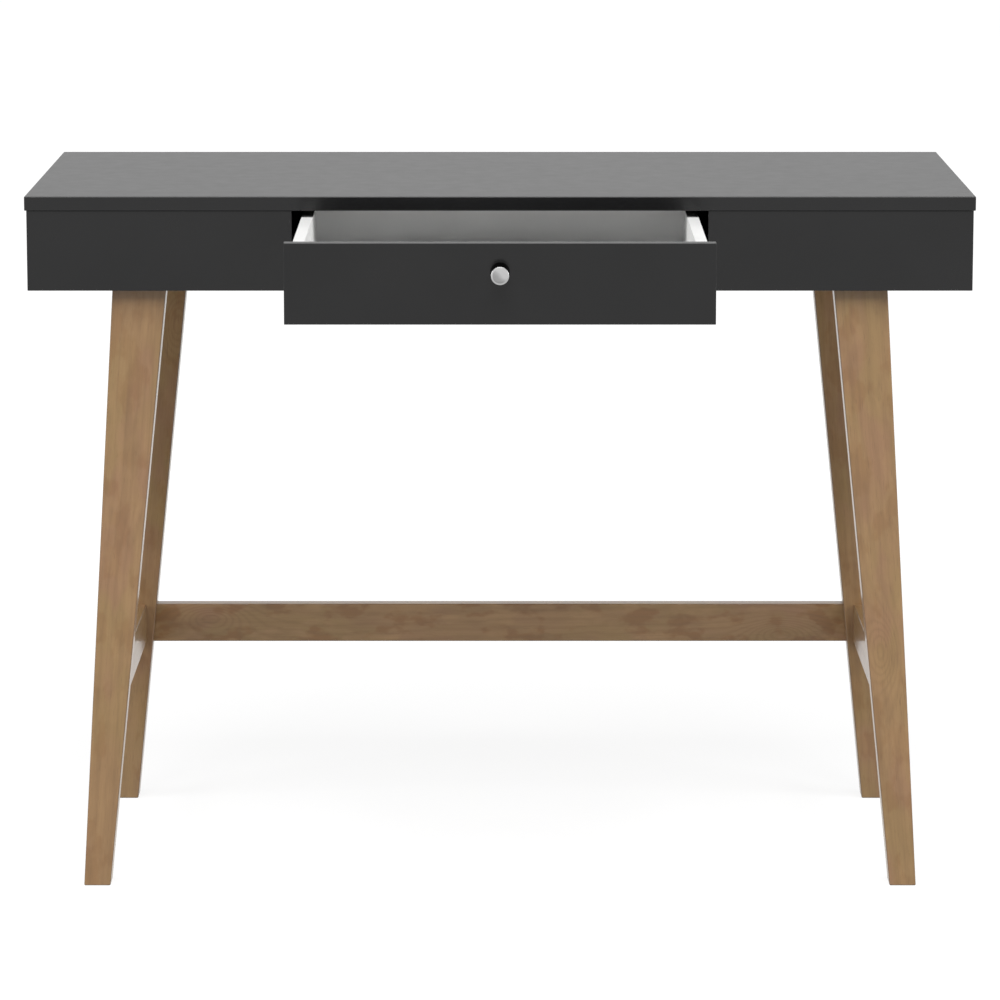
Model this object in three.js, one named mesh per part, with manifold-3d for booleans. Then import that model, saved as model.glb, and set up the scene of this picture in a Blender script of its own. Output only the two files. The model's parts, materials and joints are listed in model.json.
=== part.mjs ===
// A writing desk: a painted board box on four tapered wooden legs, with one drawer on roller runners.
// Millimetres, +Z up, +X to the sitter's right, the sitter at -Y. The drawer stands open.
import * as THREE from "three";
import { mergeVertices } from "three/addons/utils/BufferGeometryUtils.js";
import Module from "manifold-3d";

const wasm = await Module();
wasm.setup();

// ---- Driving dimensions ----

// Table top and the box of boards under it.
const topWidth = 1000;
const topDepth = 450;
const topThickness = 15;
const deskHeight = 750;
const topOverhang = 2;
const apronHeight = 85;
const apronThickness = 15;
const partitionThickness = 15;
const crossRailThickness = 15;
const crossRailDepth = 60;
const crossRailSetback = 2;
const topEase = 1;
const boardEase = 0.6;

// Legs: flat tapered boards, raked outwards to the feet. The insets run in from the apron's ends
// to the legs' centre lines.
const legThickness = 28;
const legHeadWidth = 57;
const legFootWidth = 28.4;
const legHeadInset = 116.7;
const legFootInset = 63.1;
const legEase = 1.2;

// Stretchers that join the legs near the floor.
const stretcherHeight = 44;
const stretcherThickness = 18;
const stretcherFloorGap = 185.5;
const stretcherEase = 1;
const tenonLength = 10;
const tenonThickness = 9;
const tenonHeight = 30;

// Drawer box and front.
const drawerBoxWidth = 418;
const drawerBoxLength = 350;
const drawerSideThickness = 12;
const drawerSideHeight = 58;
const drawerSideDrop = 4.4;
const drawerFrontThickness = 15;
const drawerFrontGap = 3;
const drawerTravel = 252;
const drawerBottomThickness = 4;
const drawerBottomRise = 8;
const housingDepth = 5;

// Round knob on the drawer front.
const knobLength = 30;
const knobBaseRadius = 9.9;
const knobFaceRadius = 9.2;
const knobRounding = 1.4;
const knobDrop = 29;

// Roller runners: a C-shaped channel on each partition and a rail under each drawer side.
const runnerSpace = 12.5;
const runnerSetback = 2;
const sheetGauge = 1.2;
const railRise = 24.6;
const railFlangeSetback = 0.6;
const channelMouthClearance = 1.6;
const channelHeadroom = 0.55;
const channelRollerGap = 0.45;
const channelLeadIn = 34;
const cabinetRollerRadius = 9;
const cabinetRollerCollar = 1;
const drawerRollerRadius = 10;
const rollerWidth = 6.5;
const rollerHubRadius = 5;
const rollerRimThickness = 2;
const rollerDiscThickness = 3;
const rollerInset = 12;
const rollerRunningGap = 0.05;
const rollerSideGap = 0.5;
const pinRadius = 2.5;
const pinHeadRadius = 4;
const pinHeadThickness = 1;
const pinCollarRadius = 3.5;
const pinBoreClearance = 0.1;
const stopHeight = 3;
const stopLength = 6;
const stopGap = 0.3;
const slotWidth = 4;
const slotLength = 9;
const slotCount = 3;
const fasciaLap = 2.5;

// Fasteners.
const dowelRadius = 4;
const dowelLength = 30;
const dowelInBoard = 10;
const legScrew = { headRadius: 5, neckRadius: 5, headDepth: 3, shankRadius: 2.5, length: 36 };
const runnerScrew = { headRadius: 3.4, neckRadius: 1.6, headDepth: 1.8, shankRadius: 1.6, length: 10 };
const knobScrew = { headRadius: 4, neckRadius: 4, headDepth: 2, shankRadius: 2, length: 27 };
const screwEdgeDistance = 20;
const runnerScrewInset = 45;
const counterboreDepth = 3.5;

// Clearances.
const jointGap = 0.3;
const holeClearance = 0.15;
const shoulderGap = 0.1;

// Smoothness of round pieces, in facets.
const knobFacets = 48;
const rollerFacets = 32;
const fastenerFacets = 12;

// ---- Places worked out from the sizes ----

const underTop = deskHeight - topThickness;
const apronBottom = underTop - apronHeight;
const apronHalfWidth = topWidth / 2 - topOverhang;
const apronDepth = topDepth - 2 * topOverhang;
const backInnerY = apronDepth - apronThickness;

const boxHalf = drawerBoxWidth / 2;
const partitionInner = boxHalf + runnerSpace;
const openingHalf = partitionInner - fasciaLap;

const frontHalf = openingHalf - drawerFrontGap;
const frontTop = underTop - drawerFrontGap;
const sideTop = frontTop - drawerSideDrop;
const sideBottom = sideTop - drawerSideHeight;
const boxRear = drawerFrontThickness + drawerBoxLength;
const bottomUnderside = sideBottom + drawerBottomRise;
const bottomZ = [bottomUnderside, bottomUnderside + drawerBottomThickness];
const knobZ = frontTop - knobDrop;

const flangeUnderside = sideBottom + railRise;
const cabinetRollerZ = flangeUnderside - rollerRunningGap - cabinetRollerRadius;
const channelFloor = cabinetRollerZ - cabinetRollerRadius - channelRollerGap;
const drawerRollerZ = channelFloor + rollerRunningGap + drawerRollerRadius;
const channelCeiling = drawerRollerZ + drawerRollerRadius + channelHeadroom;
const runnerFront = apronThickness + runnerSetback;
const cabinetRollerY = runnerFront + rollerInset;
const drawerRollerY = boxRear - rollerInset;

const stretcherTop = stretcherFloorGap + stretcherHeight;
const stretcherMiddle = (stretcherFloorGap + stretcherTop) / 2;
const frontLegY = [apronThickness, apronThickness + legThickness];
const rearLegY = [backInnerY - legThickness, backInnerY];

// The open drawer and its knob reach forward, so the desk is moved back to centre the whole.
const forwardReach = drawerTravel + knobLength;
const rearReach = topDepth - topOverhang;
const frontPlaneY = (forwardReach - rearReach) / 2;

const SIDES = { left: -1, right: 1 };

// ---- Solids ----

function toSolid(source) {
  const geometry = source.index ? source.toNonIndexed() : source.clone();
  geometry.deleteAttribute("normal");
  geometry.deleteAttribute("uv");
  const merged = mergeVertices(geometry, 1e-4);
  const index = merged.index.array;
  const corners = [];
  for (let i = 0; i < index.length; i += 3) {
    const [a, b, c] = [index[i], index[i + 1], index[i + 2]];
    if (a !== b && b !== c && c !== a) {
      corners.push(a, b, c);
    }
  }
  return new wasm.Manifold(
    new wasm.Mesh({
      numProp: 3,
      vertProperties: merged.attributes.position.array,
      triVerts: new Uint32Array(corners),
    }),
  );
}

function toGeometry(solid) {
  const mesh = solid.getMesh();
  const geometry = new THREE.BufferGeometry();
  geometry.setAttribute("position", new THREE.BufferAttribute(mesh.vertProperties, 3));
  geometry.setIndex(new THREE.BufferAttribute(mesh.triVerts, 1));
  geometry.computeVertexNormals();
  return geometry;
}

function cutAll(solid, tools) {
  return tools.reduce((rest, tool) => rest.subtract(tool), solid);
}

// A range on one side of the desk: sideways(-1, a, b) mirrors the range a..b to the left.
function sideways(side, near, far) {
  return side > 0 ? [near, far] : [-far, -near];
}

function easedRectangle([xMin, xMax], [yMin, yMax], ease) {
  const outline = new THREE.Shape();
  outline.moveTo(xMin + ease, yMin);
  outline.lineTo(xMax - ease, yMin);
  outline.lineTo(xMax, yMin + ease);
  outline.lineTo(xMax, yMax - ease);
  outline.lineTo(xMax - ease, yMax);
  outline.lineTo(xMin + ease, yMax);
  outline.lineTo(xMin, yMax - ease);
  outline.lineTo(xMin, yMin + ease);
  outline.closePath();
  return outline;
}

// An outline drawn out along local Z, with the edges of both end faces eased by a small chamfer.
function extrude(outline, depth, ease = 0) {
  const options = {
    depth: depth - 2 * ease,
    steps: 1,
    bevelEnabled: ease > 0,
    bevelThickness: ease,
    bevelSize: ease,
    bevelOffset: -ease,
    bevelSegments: 1,
  };
  return new THREE.ExtrudeGeometry(outline, options).translate(0, 0, ease);
}

// A board with all its edges eased.
function board(x, y, z, ease = boardEase) {
  const outline = easedRectangle(x, y, ease);
  return toSolid(extrude(outline, z[1] - z[0], ease).translate(0, 0, z[0]));
}

// A sharp-edged block, grown all round by a clearance where it cuts a joint.
function block(x, y, z, grow = 0) {
  const size = [x, y, z].map(([low, high]) => high - low + 2 * grow);
  const centre = [x, y, z].map(([low, high]) => (low + high) / 2);
  return toSolid(new THREE.BoxGeometry(...size).translate(...centre));
}

// An outline in X and Z drawn out along Y between two places.
function drawnAlongY(outline, [yMin, yMax], ease = 0) {
  const geometry = extrude(outline, yMax - yMin, ease);
  return toSolid(geometry.rotateX(Math.PI / 2).translate(0, yMax, 0));
}

// A turned piece: [radius, distance along the axis] pairs, from the start of the axis to its end.
function turned(profile, origin, direction, facets) {
  const points = profile.map(([radius, along]) => new THREE.Vector2(radius, along));
  const geometry = new THREE.LatheGeometry(points, facets);
  const turn = new THREE.Quaternion();
  turn.setFromUnitVectors(new THREE.Vector3(0, 1, 0), new THREE.Vector3(...direction));
  return toSolid(geometry.applyQuaternion(turn).translate(...origin));
}

function dowel(origin, direction, grow = 0) {
  const radius = dowelRadius + grow;
  const profile = [
    [0, -grow],
    [radius, -grow],
    [radius, dowelLength + grow],
    [0, dowelLength + grow],
  ];
  return turned(profile, origin, direction, fastenerFacets);
}

// A screw whose head starts at the origin and whose point lies along the direction.
function screw(size, origin, direction) {
  const profile = [
    [0, 0],
    [size.headRadius, 0],
    [size.neckRadius, size.headDepth],
    [size.shankRadius, size.headDepth],
    [size.shankRadius, size.length - size.shankRadius],
    [0, size.length],
  ];
  return turned(profile, origin, direction, fastenerFacets);
}

// The hole that the screw leaves, open for some way outside its head.
function screwHole(size, origin, direction, openFor = 1) {
  const head = size.headRadius + holeClearance;
  const neck = size.neckRadius + holeClearance;
  const shank = size.shankRadius + holeClearance;
  const profile = [
    [0, -openFor],
    [head, -openFor],
    [head, 0],
    [neck, size.headDepth],
    [shank, size.headDepth],
    [shank, size.length + holeClearance],
    [0, size.length + holeClearance],
  ];
  return turned(profile, origin, direction, fastenerFacets);
}

// ---- Finishes ----

function finish(color, roughness, metalness) {
  return () => new THREE.MeshStandardMaterial({ color, roughness, metalness });
}

const darkPaint = finish(0x2c2c2d, 0.45, 0);
const oiledWood = finish(0xa38460, 0.45, 0);
const whiteMelamine = finish(0xf2f2f0, 0.4, 0);
const satinChrome = finish(0xd0d0d0, 0.25, 1);
const whiteSteel = finish(0xe9e9e6, 0.4, 0.2);
const nylon = finish(0xf4f3ee, 0.5, 0);
const zincSteel = finish(0xb9bcc0, 0.35, 1);
const beechDowel = finish(0xc9a878, 0.7, 0);

function piece(name, solid, material) {
  const mesh = new THREE.Mesh(toGeometry(solid), material());
  mesh.name = name;
  return mesh;
}

// ---- Legs and stretchers ----

// The legs are straight, so each face is a line from the floor through the apron's lower edge.
function legCentreX(z) {
  return apronHalfWidth - THREE.MathUtils.lerp(legFootInset, legHeadInset, z / apronBottom);
}

function legWidth(z) {
  return THREE.MathUtils.lerp(legFootWidth, legHeadWidth, z / apronBottom);
}

function legInnerX(z) {
  return legCentreX(z) - legWidth(z) / 2;
}

function legOuterX(z) {
  return legCentreX(z) + legWidth(z) / 2;
}

function legBlank(side, legY) {
  const outline = new THREE.Shape();
  outline.moveTo(side * legInnerX(0), 0);
  outline.lineTo(side * legOuterX(0), 0);
  outline.lineTo(side * legOuterX(underTop), underTop);
  outline.lineTo(side * legInnerX(underTop), underTop);
  outline.closePath();
  return drawnAlongY(outline, legY, legEase);
}

const tenonZ = [stretcherMiddle - tenonHeight / 2, stretcherMiddle + tenonHeight / 2];
const sideStretcherX = legCentreX(stretcherMiddle);

// The tenon at the front or rear end of a side stretcher.
function sideTenon(side, atFront, grow = 0) {
  const centre = side * sideStretcherX;
  const x = [centre - tenonThickness / 2, centre + tenonThickness / 2];
  const y = atFront
    ? [frontLegY[1] - tenonLength, frontLegY[1] + tenonLength]
    : [rearLegY[0] - tenonLength, rearLegY[0] + tenonLength];
  return block(x, y, tenonZ, grow);
}

// The rear stretcher lies midway through the thickness of the rear legs.
const rearStretcherY = (rearLegY[0] + rearLegY[1]) / 2;

function rearTenon(side, grow = 0) {
  const face = legInnerX(stretcherMiddle);
  const x = sideways(side, face - tenonLength, face + tenonLength);
  const y = [rearStretcherY - tenonThickness / 2, rearStretcherY + tenonThickness / 2];
  return block(x, y, tenonZ, grow);
}

function sideStretcher(side) {
  const centre = side * sideStretcherX;
  const x = [centre - stretcherThickness / 2, centre + stretcherThickness / 2];
  const outline = easedRectangle(x, [stretcherFloorGap, stretcherTop], stretcherEase);
  const bar = drawnAlongY(outline, [frontLegY[1], rearLegY[0]]);
  return bar.add(sideTenon(side, true)).add(sideTenon(side, false));
}

// The rear stretcher's shoulders follow the rake of the legs.
function rearStretcher() {
  const reach = legInnerX(0);
  const y = [
    rearStretcherY - stretcherThickness / 2,
    rearStretcherY + stretcherThickness / 2,
  ];
  const bar = board([-reach, reach], y, [stretcherFloorGap, stretcherTop], stretcherEase);
  const low = legInnerX(stretcherFloorGap - stretcherEase) - shoulderGap;
  const high = legInnerX(stretcherTop + stretcherEase) - shoulderGap;
  const between = new THREE.Shape();
  between.moveTo(-low, stretcherFloorGap - stretcherEase);
  between.lineTo(low, stretcherFloorGap - stretcherEase);
  between.lineTo(high, stretcherTop + stretcherEase);
  between.lineTo(-high, stretcherTop + stretcherEase);
  between.closePath();
  const slab = drawnAlongY(between, [y[0] - 1, y[1] + 1]);
  return bar.intersect(slab).add(rearTenon(-1)).add(rearTenon(1));
}

// Two screws hold each leg's head to the board it stands against, with their heads in the leg's free face.
function legScrewPlaces(side, atFront) {
  const headY = atFront ? frontLegY[1] - counterboreDepth : rearLegY[0] + counterboreDepth;
  const direction = [0, atFront ? -1 : 1, 0];
  const heights = [apronBottom + screwEdgeDistance, underTop - screwEdgeDistance];
  return heights.map((z) => ({ origin: [side * legCentreX(z), headY, z], direction }));
}

function leg(side, atFront) {
  const blank = legBlank(side, atFront ? frontLegY : rearLegY);
  const holes = legScrewPlaces(side, atFront).map(({ origin, direction }) =>
    screwHole(legScrew, origin, direction, counterboreDepth + 1),
  );
  const mortises = [sideTenon(side, atFront, jointGap)];
  if (!atFront) {
    mortises.push(rearTenon(side, jointGap));
  }
  return cutAll(blank, [...holes, ...mortises]);
}

function legHolesInApron(side, atFront) {
  return legScrewPlaces(side, atFront).map(({ origin, direction }) =>
    screwHole(legScrew, origin, direction),
  );
}

// ---- Apron boards and top ----

const apronZ = [apronBottom, underTop];
const sidePanelX = [apronHalfWidth - apronThickness, apronHalfWidth];
const sidePanelY = [apronThickness, backInnerY];
const cornerDowelZ = (apronBottom + underTop) / 2;
const sidePanelMiddleX = apronHalfWidth - apronThickness / 2;

// One dowel along Y at each corner of the apron.
function cornerDowel(side, atFront, grow = 0) {
  const startY = atFront ? apronThickness - dowelInBoard : backInnerY + dowelInBoard;
  const direction = [0, atFront ? 1 : -1, 0];
  return dowel([side * sidePanelMiddleX, startY, cornerDowelZ], direction, grow);
}

// Two upright dowels in each side panel locate the top.
function topDowel(side, atFront, grow = 0) {
  const quarter = (sidePanelY[1] - sidePanelY[0]) / 4;
  const y = atFront ? sidePanelY[0] + quarter : sidePanelY[1] - quarter;
  return dowel([side * sidePanelMiddleX, y, underTop + dowelInBoard], [0, 0, -1], grow);
}

function bothEnds(make) {
  return [make(true), make(false)];
}

function topPanel() {
  const x = [-topWidth / 2, topWidth / 2];
  const y = [-topOverhang, topDepth - topOverhang];
  const holes = Object.values(SIDES).flatMap((side) =>
    bothEnds((atFront) => topDowel(side, atFront, holeClearance)),
  );
  return cutAll(board(x, y, [underTop, deskHeight], topEase), holes);
}

function frontFascia(side) {
  const x = sideways(side, openingHalf, apronHalfWidth);
  const blank = board(x, [0, apronThickness], apronZ);
  return cutAll(blank, [
    cornerDowel(side, true, holeClearance),
    ...legHolesInApron(side, true),
  ]);
}

function sidePanel(side) {
  const blank = board(sideways(side, ...sidePanelX), sidePanelY, apronZ);
  return cutAll(blank, [
    ...bothEnds((atFront) => cornerDowel(side, atFront, holeClearance)),
    ...bothEnds((atFront) => topDowel(side, atFront, holeClearance)),
  ]);
}

function backPanel() {
  const blank = board([-apronHalfWidth, apronHalfWidth], [backInnerY, apronDepth], apronZ);
  const holes = Object.values(SIDES).flatMap((side) => [
    cornerDowel(side, false, holeClearance),
    ...legHolesInApron(side, false),
  ]);
  return cutAll(blank, holes);
}

function partition(side) {
  const x = sideways(side, partitionInner, partitionInner + partitionThickness);
  const holes = channelScrewPlaces(side).map(({ origin, direction }) =>
    screwHole(runnerScrew, origin, direction),
  );
  return cutAll(board(x, sidePanelY, apronZ), holes);
}

// A flat rail under the drawer keeps the partitions apart.
function crossRail() {
  const y = [apronThickness + crossRailSetback, apronThickness + crossRailSetback + crossRailDepth];
  const z = [apronBottom, apronBottom + crossRailThickness];
  return board([-partitionInner, partitionInner], y, z);
}

// ---- Runners ----

const channelWebX = [partitionInner - sheetGauge, partitionInner];
const channelFlangeX = [boxHalf + sheetGauge + channelMouthClearance, partitionInner];
const channelRear = runnerFront + drawerBoxLength;
const railWebX = [boxHalf, boxHalf + sheetGauge];
// The rail's flange stays within the width of the drawer's front, so that it doesn't show beside it.
const railFlangeX = [boxHalf, frontHalf - railFlangeSetback];

// A screw at each end of a runner, clear of the rollers.
function screwsAlong(front, rear) {
  return [front + runnerScrewInset, rear - runnerScrewInset];
}

function channelScrewPlaces(side) {
  const z = (channelFloor + channelCeiling) / 2;
  return screwsAlong(runnerFront, channelRear).map((y) => ({
    origin: [side * channelWebX[0], y, z],
    direction: [side, 0, 0],
  }));
}

// The rail's screws pass between the groove for the drawer's bottom and the upper flange.
function railScrewPlaces(side) {
  const z = (bottomZ[1] + jointGap + flangeUnderside) / 2;
  return screwsAlong(drawerFrontThickness, boxRear).map((y) => ({
    origin: [side * railWebX[1], y, z],
    direction: [-side, 0, 0],
  }));
}

// From the outer face of a pin's head to the end of its journal, which the roller runs on.
const journalEnd = pinHeadThickness + 2 * rollerSideGap + rollerWidth;

// Where each roller's pin starts: at the end of its head, pointing into the sheet it is riveted to.
// A collar on the cabinet's pin carries its roller clear of the web, under the drawer's rail.
function cabinetPinPlace(side) {
  const head = channelWebX[0] - cabinetRollerCollar - journalEnd;
  return {
    origin: [side * head, cabinetRollerY, cabinetRollerZ],
    direction: [side, 0, 0],
    collar: cabinetRollerCollar,
  };
}

function drawerPinPlace(side) {
  const head = railWebX[1] + journalEnd;
  return {
    origin: [side * head, drawerRollerY, drawerRollerZ],
    direction: [-side, 0, 0],
    collar: 0,
  };
}

function rollerPin({ origin, direction, collar }) {
  const shoulder = journalEnd + collar;
  const collarOutline = [
    [pinRadius, journalEnd],
    [pinCollarRadius, journalEnd],
    [pinCollarRadius, shoulder],
    [pinRadius, shoulder],
  ];
  const profile = [
    [0, 0],
    [pinHeadRadius, 0],
    [pinHeadRadius, pinHeadThickness],
    [pinRadius, pinHeadThickness],
    ...(collar > 0 ? collarOutline : []),
    [pinRadius, shoulder + sheetGauge],
    [0, shoulder + sheetGauge],
  ];
  return turned(profile, origin, direction, rollerFacets);
}

function pinHole({ origin, direction, collar }) {
  const radius = pinRadius + holeClearance;
  const through = journalEnd + collar + sheetGauge + 1;
  const profile = [
    [0, pinHeadThickness],
    [radius, pinHeadThickness],
    [radius, through],
    [0, through],
  ];
  return turned(profile, origin, direction, rollerFacets);
}

// A nylon roller: a rim and a hub on a thinner disc, with a bore that runs on the pin.
function roller({ origin, direction }, radius) {
  const near = pinHeadThickness + rollerSideGap;
  const far = near + rollerWidth;
  const discNear = (near + far - rollerDiscThickness) / 2;
  const discFar = discNear + rollerDiscThickness;
  const bore = pinRadius + pinBoreClearance;
  const rim = radius - rollerRimThickness;
  const ease = rollerRimThickness / 4;
  const profile = [
    [bore, near],
    [rollerHubRadius, near],
    [rollerHubRadius, discNear],
    [rim, discNear],
    [rim, near],
    [radius - ease, near],
    [radius, near + ease],
    [radius, far - ease],
    [radius - ease, far],
    [rim, far],
    [rim, discFar],
    [rollerHubRadius, discFar],
    [rollerHubRadius, far],
    [bore, far],
    [bore, near],
  ];
  return turned(profile, origin, direction, rollerFacets);
}

// Stands an outline up lengthwise: its X becomes the desk's Y, its Y the desk's Z and its depth the desk's X.
const sidewaysAxes = new THREE.Matrix4().makeBasis(
  new THREE.Vector3(0, 1, 0),
  new THREE.Vector3(0, 0, 1),
  new THREE.Vector3(1, 0, 0),
);

// The stop is a wedge pressed up from the channel's floor, which the drawer's roller meets when fully open.
function channelStop(side) {
  const openRollerY = drawerRollerY - drawerTravel;
  const contact = Math.sqrt(drawerRollerRadius ** 2 - (drawerRollerRadius - stopHeight) ** 2);
  const rear = openRollerY - contact - stopGap;
  const outline = new THREE.Shape();
  outline.moveTo(rear, channelFloor + stopHeight);
  outline.lineTo(rear - stopLength, channelFloor);
  outline.lineTo(rear - stopLength, channelFloor - sheetGauge / 2);
  outline.lineTo(rear, channelFloor - sheetGauge / 2);
  outline.closePath();
  const [xMin, xMax] = sideways(side, channelFlangeX[0], channelWebX[0] + sheetGauge / 2);
  const geometry = extrude(outline, xMax - xMin);
  return toSolid(geometry.applyMatrix4(sidewaysAxes).translate(xMin, 0, 0));
}

// Oblong slots through the web, spread evenly between its two screws.
function webSlots(side) {
  const outline = new THREE.Shape();
  const straight = (slotLength - slotWidth) / 2;
  outline.absarc(straight, 0, slotWidth / 2, -Math.PI / 2, Math.PI / 2);
  outline.absarc(-straight, 0, slotWidth / 2, Math.PI / 2, (3 * Math.PI) / 2);
  outline.closePath();
  const depth = sheetGauge + 2;
  const geometry = new THREE.ExtrudeGeometry(outline, { depth, bevelEnabled: false, curveSegments: 6 });
  const upright = toSolid(geometry.translate(0, 0, -depth / 2).applyMatrix4(sidewaysAxes));
  const [front, rear] = screwsAlong(runnerFront, channelRear);
  const x = side * (channelWebX[0] + sheetGauge / 2);
  return Array.from({ length: slotCount }, (_, i) => {
    const y = THREE.MathUtils.lerp(front, rear, (i + 1) / (slotCount + 1));
    return upright.translate([x, y, (channelFloor + channelCeiling) / 2]);
  });
}

// The upper flange starts behind a lead-in, where the drawer's rollers are lifted in.
function cabinetRunner(side) {
  const y = [runnerFront, channelRear];
  const z = [channelFloor - sheetGauge, channelCeiling + sheetGauge];
  const flangeX = sideways(side, ...channelFlangeX);
  const channel = block(sideways(side, ...channelWebX), y, z)
    .add(block(flangeX, y, [z[0], channelFloor]))
    .add(block(flangeX, [y[0] + channelLeadIn, y[1]], [channelCeiling, z[1]]))
    .add(channelStop(side));
  const holes = channelScrewPlaces(side).map(({ origin, direction }) =>
    screwHole(runnerScrew, origin, direction),
  );
  return cutAll(channel, [...holes, ...webSlots(side), pinHole(cabinetPinPlace(side))]);
}

// The rail hooks under the drawer side; its upper flange rides on the cabinet's roller.
function drawerRunner(side) {
  const y = [drawerFrontThickness, boxRear];
  const webZ = [sideBottom - sheetGauge, flangeUnderside + sheetGauge];
  const underSideX = sideways(side, boxHalf - drawerSideThickness, railWebX[1]);
  const flangeEnd = drawerRollerY - drawerRollerRadius - rollerSideGap;
  const flange = block(
    sideways(side, ...railFlangeX),
    [y[0], flangeEnd],
    [flangeUnderside, flangeUnderside + sheetGauge],
  );
  const rail = block(sideways(side, ...railWebX), y, webZ)
    .add(block(underSideX, y, [webZ[0], sideBottom]))
    .add(flange);
  const holes = railScrewPlaces(side).map(({ origin, direction }) =>
    screwHole(runnerScrew, origin, direction),
  );
  return cutAll(rail, [...holes, pinHole(drawerPinPlace(side))]);
}

// ---- Drawer, drawn closed ----

const boxInner = boxHalf - drawerSideThickness;
const backY = [boxRear - drawerSideThickness, boxRear];

// The bottom panel, let into grooves in the sides and the front and open under the back.
function bottomBlock(grow = 0) {
  const reach = boxInner + housingDepth;
  const y = [drawerFrontThickness - housingDepth, boxRear];
  return block([-reach, reach], y, bottomZ, grow);
}

function backBlock(grow = 0) {
  const reach = boxInner + housingDepth;
  return block([-reach, reach], backY, [bottomZ[1] + jointGap, sideTop], grow);
}

function sideBlank(side) {
  const x = sideways(side, boxInner, boxHalf);
  return board(x, [drawerFrontThickness - housingDepth, boxRear], [sideBottom, sideTop]);
}

function sideHousing(side) {
  const x = sideways(side, boxInner, boxHalf);
  const y = [drawerFrontThickness - housingDepth, drawerFrontThickness + housingDepth];
  return block(x, y, [sideBottom, sideTop], jointGap);
}

const knobScrewOrigin = [0, drawerFrontThickness + knobScrew.headDepth, knobZ];
const outOfDrawer = [0, -1, 0];

function drawerFront() {
  const blank = board([-frontHalf, frontHalf], [0, drawerFrontThickness], [apronBottom, frontTop]);
  return cutAll(blank, [
    sideHousing(-1),
    sideHousing(1),
    bottomBlock(jointGap),
    screwHole(knobScrew, knobScrewOrigin, outOfDrawer),
  ]);
}

function drawerSide(side) {
  const holes = railScrewPlaces(side).map(({ origin, direction }) =>
    screwHole(runnerScrew, origin, direction),
  );
  return cutAll(sideBlank(side), [bottomBlock(jointGap), backBlock(jointGap), ...holes]);
}

function knob() {
  const profile = [
    [0, 0],
    [knobBaseRadius, 0],
    [knobFaceRadius, knobLength - knobRounding],
    [knobFaceRadius - knobRounding * 0.3, knobLength - knobRounding * 0.3],
    [knobFaceRadius - knobRounding, knobLength],
    [0, knobLength],
  ];
  const blank = turned(profile, [0, 0, knobZ], outOfDrawer, knobFacets);
  return blank.subtract(screwHole(knobScrew, knobScrewOrigin, outOfDrawer));
}

// ---- The desk ----

function frameGroup() {
  const group = new THREE.Group();
  group.add(piece("top_panel", topPanel(), darkPaint));
  group.add(piece("back_panel", backPanel(), darkPaint));
  group.add(piece("cross_rail", crossRail(), darkPaint));
  group.add(piece("rear_stretcher", rearStretcher(), oiledWood));
  for (const [sideName, side] of Object.entries(SIDES)) {
    group.add(piece(`${sideName}_front_fascia`, frontFascia(side), darkPaint));
    group.add(piece(`${sideName}_side_panel`, sidePanel(side), darkPaint));
    group.add(piece(`${sideName}_partition`, partition(side), darkPaint));
    group.add(piece(`${sideName}_side_stretcher`, sideStretcher(side), oiledWood));
    group.add(piece(`${sideName}_cabinet_runner`, cabinetRunner(side), whiteSteel));
    const pin = cabinetPinPlace(side);
    group.add(piece(`${sideName}_cabinet_roller_pin`, rollerPin(pin), zincSteel));
    group.add(piece(`${sideName}_cabinet_roller`, roller(pin, cabinetRollerRadius), nylon));
    channelScrewPlaces(side).forEach(({ origin, direction }, i) => {
      const name = `${sideName}_cabinet_runner_screw_${i + 1}`;
      group.add(piece(name, screw(runnerScrew, origin, direction), zincSteel));
    });
    for (const [endName, atFront] of Object.entries({ front: true, rear: false })) {
      const corner = `${sideName}_${endName}`;
      group.add(piece(`${corner}_leg`, leg(side, atFront), oiledWood));
      group.add(piece(`${corner}_corner_dowel`, cornerDowel(side, atFront), beechDowel));
      group.add(piece(`${corner}_top_dowel`, topDowel(side, atFront), beechDowel));
      legScrewPlaces(side, atFront).forEach(({ origin, direction }, i) => {
        const name = `${corner}_leg_screw_${i + 1}`;
        group.add(piece(name, screw(legScrew, origin, direction), zincSteel));
      });
    }
  }
  return group;
}

function drawerGroup() {
  const group = new THREE.Group();
  group.add(piece("drawer_front", drawerFront(), darkPaint));
  group.add(piece("drawer_back", backBlock(), whiteMelamine));
  group.add(piece("drawer_bottom", bottomBlock(), whiteMelamine));
  group.add(piece("drawer_knob", knob(), satinChrome));
  group.add(piece("knob_screw", screw(knobScrew, knobScrewOrigin, outOfDrawer), zincSteel));
  for (const [sideName, side] of Object.entries(SIDES)) {
    group.add(piece(`drawer_${sideName}_side`, drawerSide(side), whiteMelamine));
    group.add(piece(`${sideName}_drawer_runner`, drawerRunner(side), whiteSteel));
    const pin = drawerPinPlace(side);
    group.add(piece(`${sideName}_drawer_roller_pin`, rollerPin(pin), zincSteel));
    group.add(piece(`${sideName}_drawer_roller`, roller(pin, drawerRollerRadius), nylon));
    railScrewPlaces(side).forEach(({ origin, direction }, i) => {
      const name = `${sideName}_drawer_runner_screw_${i + 1}`;
      group.add(piece(name, screw(runnerScrew, origin, direction), zincSteel));
    });
  }
  group.position.y = -drawerTravel;
  return group;
}

const desk = new THREE.Group();
desk.name = "writing_desk";
desk.add(frameGroup(), drawerGroup());
desk.position.y = frontPlaneY;

export default desk;
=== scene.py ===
"""A writing desk: dark painted boards on raked wooden legs, with one drawer on roller runners.

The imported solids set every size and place. Each class here models the visible pieces of one
sub-assembly over the solids that they stand for, and each finish is a procedural material.
Metres, +Z up, +X to the sitter's right, the sitter at -Y.
"""

from __future__ import annotations

import json
import logging
import math
from collections.abc import Callable, Iterator, Sequence
from contextlib import contextmanager
from dataclasses import dataclass, field
from enum import Enum
from typing import Any

import bmesh
import bpy
from mathutils import Matrix, Vector


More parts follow.
